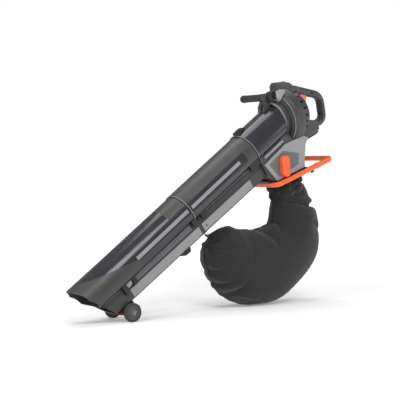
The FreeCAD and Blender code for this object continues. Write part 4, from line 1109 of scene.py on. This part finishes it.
def bagSeams():
    surface = surfaceOf(bag)
    rows = smoothRibs(bagFacts["ribs"], 150)
    seams, stitches = [], []
    # piping round the outer and inner edge, and a row of stitches each side of it
    for pick, turn in ((1, 1), (0, -1)):
        line, aims = [], []
        for k in range(4, len(rows) - 3):
            inner, outer, thick, level = rows[k]
            edge = rows[k][pick]
            away = (outer - inner).normalized() * turn
            start = edge + away * 40
            origin = layoutOf["ground"] @ (Vector((start.x, 0, start.y)) / 1000)
            aim = heading("ground", -away.x, 0, -away.y)
            hit, normal, index, distance = surface.ray_cast(origin, aim, 0.08)
            if hit and (hit.z > 0.006 or pick == 0):
                line.append(hit - aim * 0.0002)
                aims.append(normal)
        if len(line) > 4:
            seams.append(bead(line, 0.0015, sides=8))
        for side in (-1, 1):
            for k in range(0, len(line) - 1):
                middle = (line[k] + line[k + 1]) / 2
                aim = aims[k]
                probe = middle + Vector((0, 0.0055 * side, 0)) + aim * 0.02
                hit, normal, index, distance = surface.ray_cast(probe, -aim, 0.05)
                if not hit:
                    continue
                run = (line[k + 1] - line[k]).normalized() * 0.0014
                stitches.append(bead([hit - run, hit + normal * 0.0004, hit + run], 0.00035, sides=6))
    addPiece("bag_piping", *gather(*seams), "body", "strapWebbing", "webbing")
    addPiece("bag_stitches", *gather(*stitches), "body", "sewingThread", "webbing")


bagSeams()


# ---- neck band under the frame, and the strap at the bag's tip

def neckBand():
    # an elastic band that holds the cloth under the neck plate
    rows = smoothRibs(bagFacts["ribs"], 60)
    rings = []
    inner, outer, thick, level = rows[1]
    middle, half = (inner + outer) / 2, (outer - inner) / 2
    for k in range(120):
        angle = 2 * math.pi * k / 120
        c, s = math.cos(angle), math.sin(angle)
        cx, sy = math.copysign(abs(c) ** 0.86, c), math.copysign(abs(s) ** 0.86, s)
        wave = 0.5 * math.sin(40 * angle)
        ring = []
        for rise, grow in ((-7, -2.6), (-6, 0.2), (0, 0.9 + wave), (6, 0.2), (7, -2.6), (0, -4.0)):
            p = middle + half * (1 + grow / half.length) * cx
            lift = heading("ground", -49, 0, 139) * rise / 1000
            ring.append(layoutOf["ground"] @ (Vector((p.x, (thick + grow) * sy, p.y)) / 1000) + lift)
        rings.append(ring)
    addPiece("bag_neck_band", *loft(rings), "body", "strapWebbing", "webbing", smooth=50)


neckBand()

strapFacts = {"width": 18.0, "tail": 36.0, "thick": 1.4}


def strapShape(path, widths, thick):
    rings = []
    for i, (point, width) in enumerate(zip(path, widths)):
        before, after = path[max(0, i - 1)], path[min(len(path) - 1, i + 1)]
        run = (after - before).normalized()
        face = run.cross(Vector((0, 1, 0))).normalized()
        half = Vector((0, width / 2000, 0))
        rings.append([point - half - face * thick / 2600, point - half * 0.9 - face * thick / 2000,
                      point + half * 0.9 - face * thick / 2000, point + half - face * thick / 2600,
                      point + half + face * thick / 2600, point + half * 0.9 + face * thick / 2000,
                      point - half * 0.9 + face * thick / 2000, point - half + face * thick / 2600])
    return loft(rings, closed=False)


def buildStrap():
    # a loop through the ring, its tail sewn to the tip of the bag
    centre = spot("tube", 427, 0, -138.5)
    tail = spot("ground", 392, 0, 262)
    loop = []
    for k in range(15):
        angle = math.radians(-35 + 250 * k / 14)
        loop.append(centre + Vector((math.cos(angle) * 0.0034, 0, math.sin(angle) * 0.0034)))
    surface = surfaceOf(bag)
    run = []
    for k in range(1, 13):
        share = k / 12
        p = loop[-1].lerp(tail, share) - Vector((0, 0, 0.004 * math.sin(math.pi * share)))
        hit, normal, index, distance = surface.ray_cast(Vector((p.x, 0, p.z + 0.06)), Vector((0, 0, -1)), 0.12)
        if hit and p.z < hit.z + 0.0012:
            p = Vector((p.x, 0, hit.z + 0.0012))
        run.append(p)
    spread = strapFacts["tail"] - strapFacts["width"]
    widths = [strapFacts["width"]] * len(loop) + [strapFacts["width"] + spread * min(1, k / 5) for k in range(12)]
    strap = addPiece("bag_strap_webbing", *strapShape(loop + run, widths, strapFacts["thick"]), "body",
                     "strapWebbing", "webbing", smooth=40)
    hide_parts("bag_strap")
    rows = []
    for k in (4, 7, 10):
        for j in range(9):
            base = run[k] + Vector((0, (j - 4) * 0.0018, 0.0009))
            rows.append(bead([base - Vector((0, 0.0006, 0)), base + Vector((0, 0, 0.0003)), base + Vector((0, 0.0006, 0))],
                             0.0003, sides=6))
    addPiece("strap_stitches", *gather(*rows), "body", "sewingThread", "webbing")


buildStrap()
print("bag sewn and hung")


# ---- floor, light and camera

stageFacts = {"floor": 14.0, "colour": (0.93, 0.93, 0.935), "backdrop": 1.0, "skyLight": 0.30, "fadeOver": (0.8, 2.4),
              "glow": (0.22, 0.9)}


def buildStage():
    size = stageFacts["floor"]
    mesh = bpy.data.meshes.new("studio_floor")
    mesh.from_pydata([(-size, -size, 0), (size, -size, 0), (size, size, 0), (-size, size, 0)], [], [(0, 1, 2, 3)])
    floor = bpy.data.objects.new("studio_floor", mesh)
    bpy.context.scene.collection.objects.link(floor)
    made, tree, shader = newMaterial("paleFloor")
    tone = noiseOf(tree, objectSpot(tree), 3.0, 3.0)
    join(tree, mixColour(tree, tone, *shades(stageFacts["colour"], 0.01)), shader.inputs["Base Color"])
    shader.inputs["Roughness"].default_value = 0.9
    shader.inputs["Specular IOR Level"].default_value = 0.1
    # the sheet glows a little, more so far from the object, so that it meets the backdrop without a line
    reach = addNode(tree, "ShaderNodeVectorMath", operation="LENGTH")
    join(tree, objectSpot(tree), reach.inputs[0])
    glow = mixValue(tree, ramp(tree, reach.outputs["Value"], *stageFacts["fadeOver"]), *stageFacts["glow"])
    join(tree, glow, shader.inputs["Emission Strength"])
    shader.inputs["Emission Color"].default_value = (1, 1, 1, 1)
    mesh.materials.append(made)
    world = bpy.data.worlds.new("studio")
    bpy.context.scene.world = world
    world.use_nodes = True
    sky = world.node_tree.nodes["Background"]
    sky.inputs["Color"].default_value = (1, 1, 1, 1)
    seen = addNode(world.node_tree, "ShaderNodeLightPath").outputs["Is Camera Ray"]
    join(world.node_tree, mixValue(world.node_tree, seen, stageFacts["skyLight"], stageFacts["backdrop"]),
         sky.inputs["Strength"])


buildStage()

# name: place, target, width, height, power
lamps = {
    "keySoftbox": ((-0.9, -2.3, 2.9), (0.0, 0.0, 0.35), 1.6, 1.2, 44),
    "leftStrip": ((-2.6, -0.5, 1.5), (0.0, 0.0, 0.4), 0.5, 2.2, 34),
    "rightFill": ((2.4, -1.8, 1.3), (0.1, 0.0, 0.4), 1.2, 1.2, 11),
    "topGlow": ((0.3, 0.6, 3.2), (0.0, 0.0, 0.3), 2.2, 1.6, 36),
}


def aimAt(item, stand, target):
    item.location = Vector(stand)
    item.rotation_mode = "QUATERNION"
    item.rotation_quaternion = (Vector(target) - Vector(stand)).to_track_quat("-Z", "Y")


for name, (stand, target, width, height, power) in lamps.items():
    light = bpy.data.lights.new(name, "AREA")
    light.shape = "RECTANGLE"
    light.size = width
    light.size_y = height
    light.energy = power
    lamp = bpy.data.objects.new(name, light)
    bpy.context.scene.collection.objects.link(lamp)
    aimAt(lamp, stand, target)

# The camera stands low in front of the mouth, to the near side.
cameraFacts = {"azimuth": -38.354, "elevation": 1.986, "distance": 3.5056, "look": (326.95, 0, 390.57), "lens": 90}
cameraData = bpy.data.cameras.new("studioCamera")
cameraData.lens = cameraFacts["lens"]
cameraData.sensor_width = 36
camera = bpy.data.objects.new("studioCamera", cameraData)
bpy.context.scene.collection.objects.link(camera)
azimuth, elevation = math.radians(cameraFacts["azimuth"]), math.radians(cameraFacts["elevation"])
look = spot("ground", *cameraFacts["look"])
back = Vector((math.sin(azimuth) * math.cos(elevation), -math.cos(azimuth) * math.cos(elevation), math.sin(elevation)))
aimAt(camera, look + back * cameraFacts["distance"], look)
bpy.context.scene.camera = camera
bpy.context.scene.view_settings.view_transform = "Standard"
print("stage, lamps and camera set")
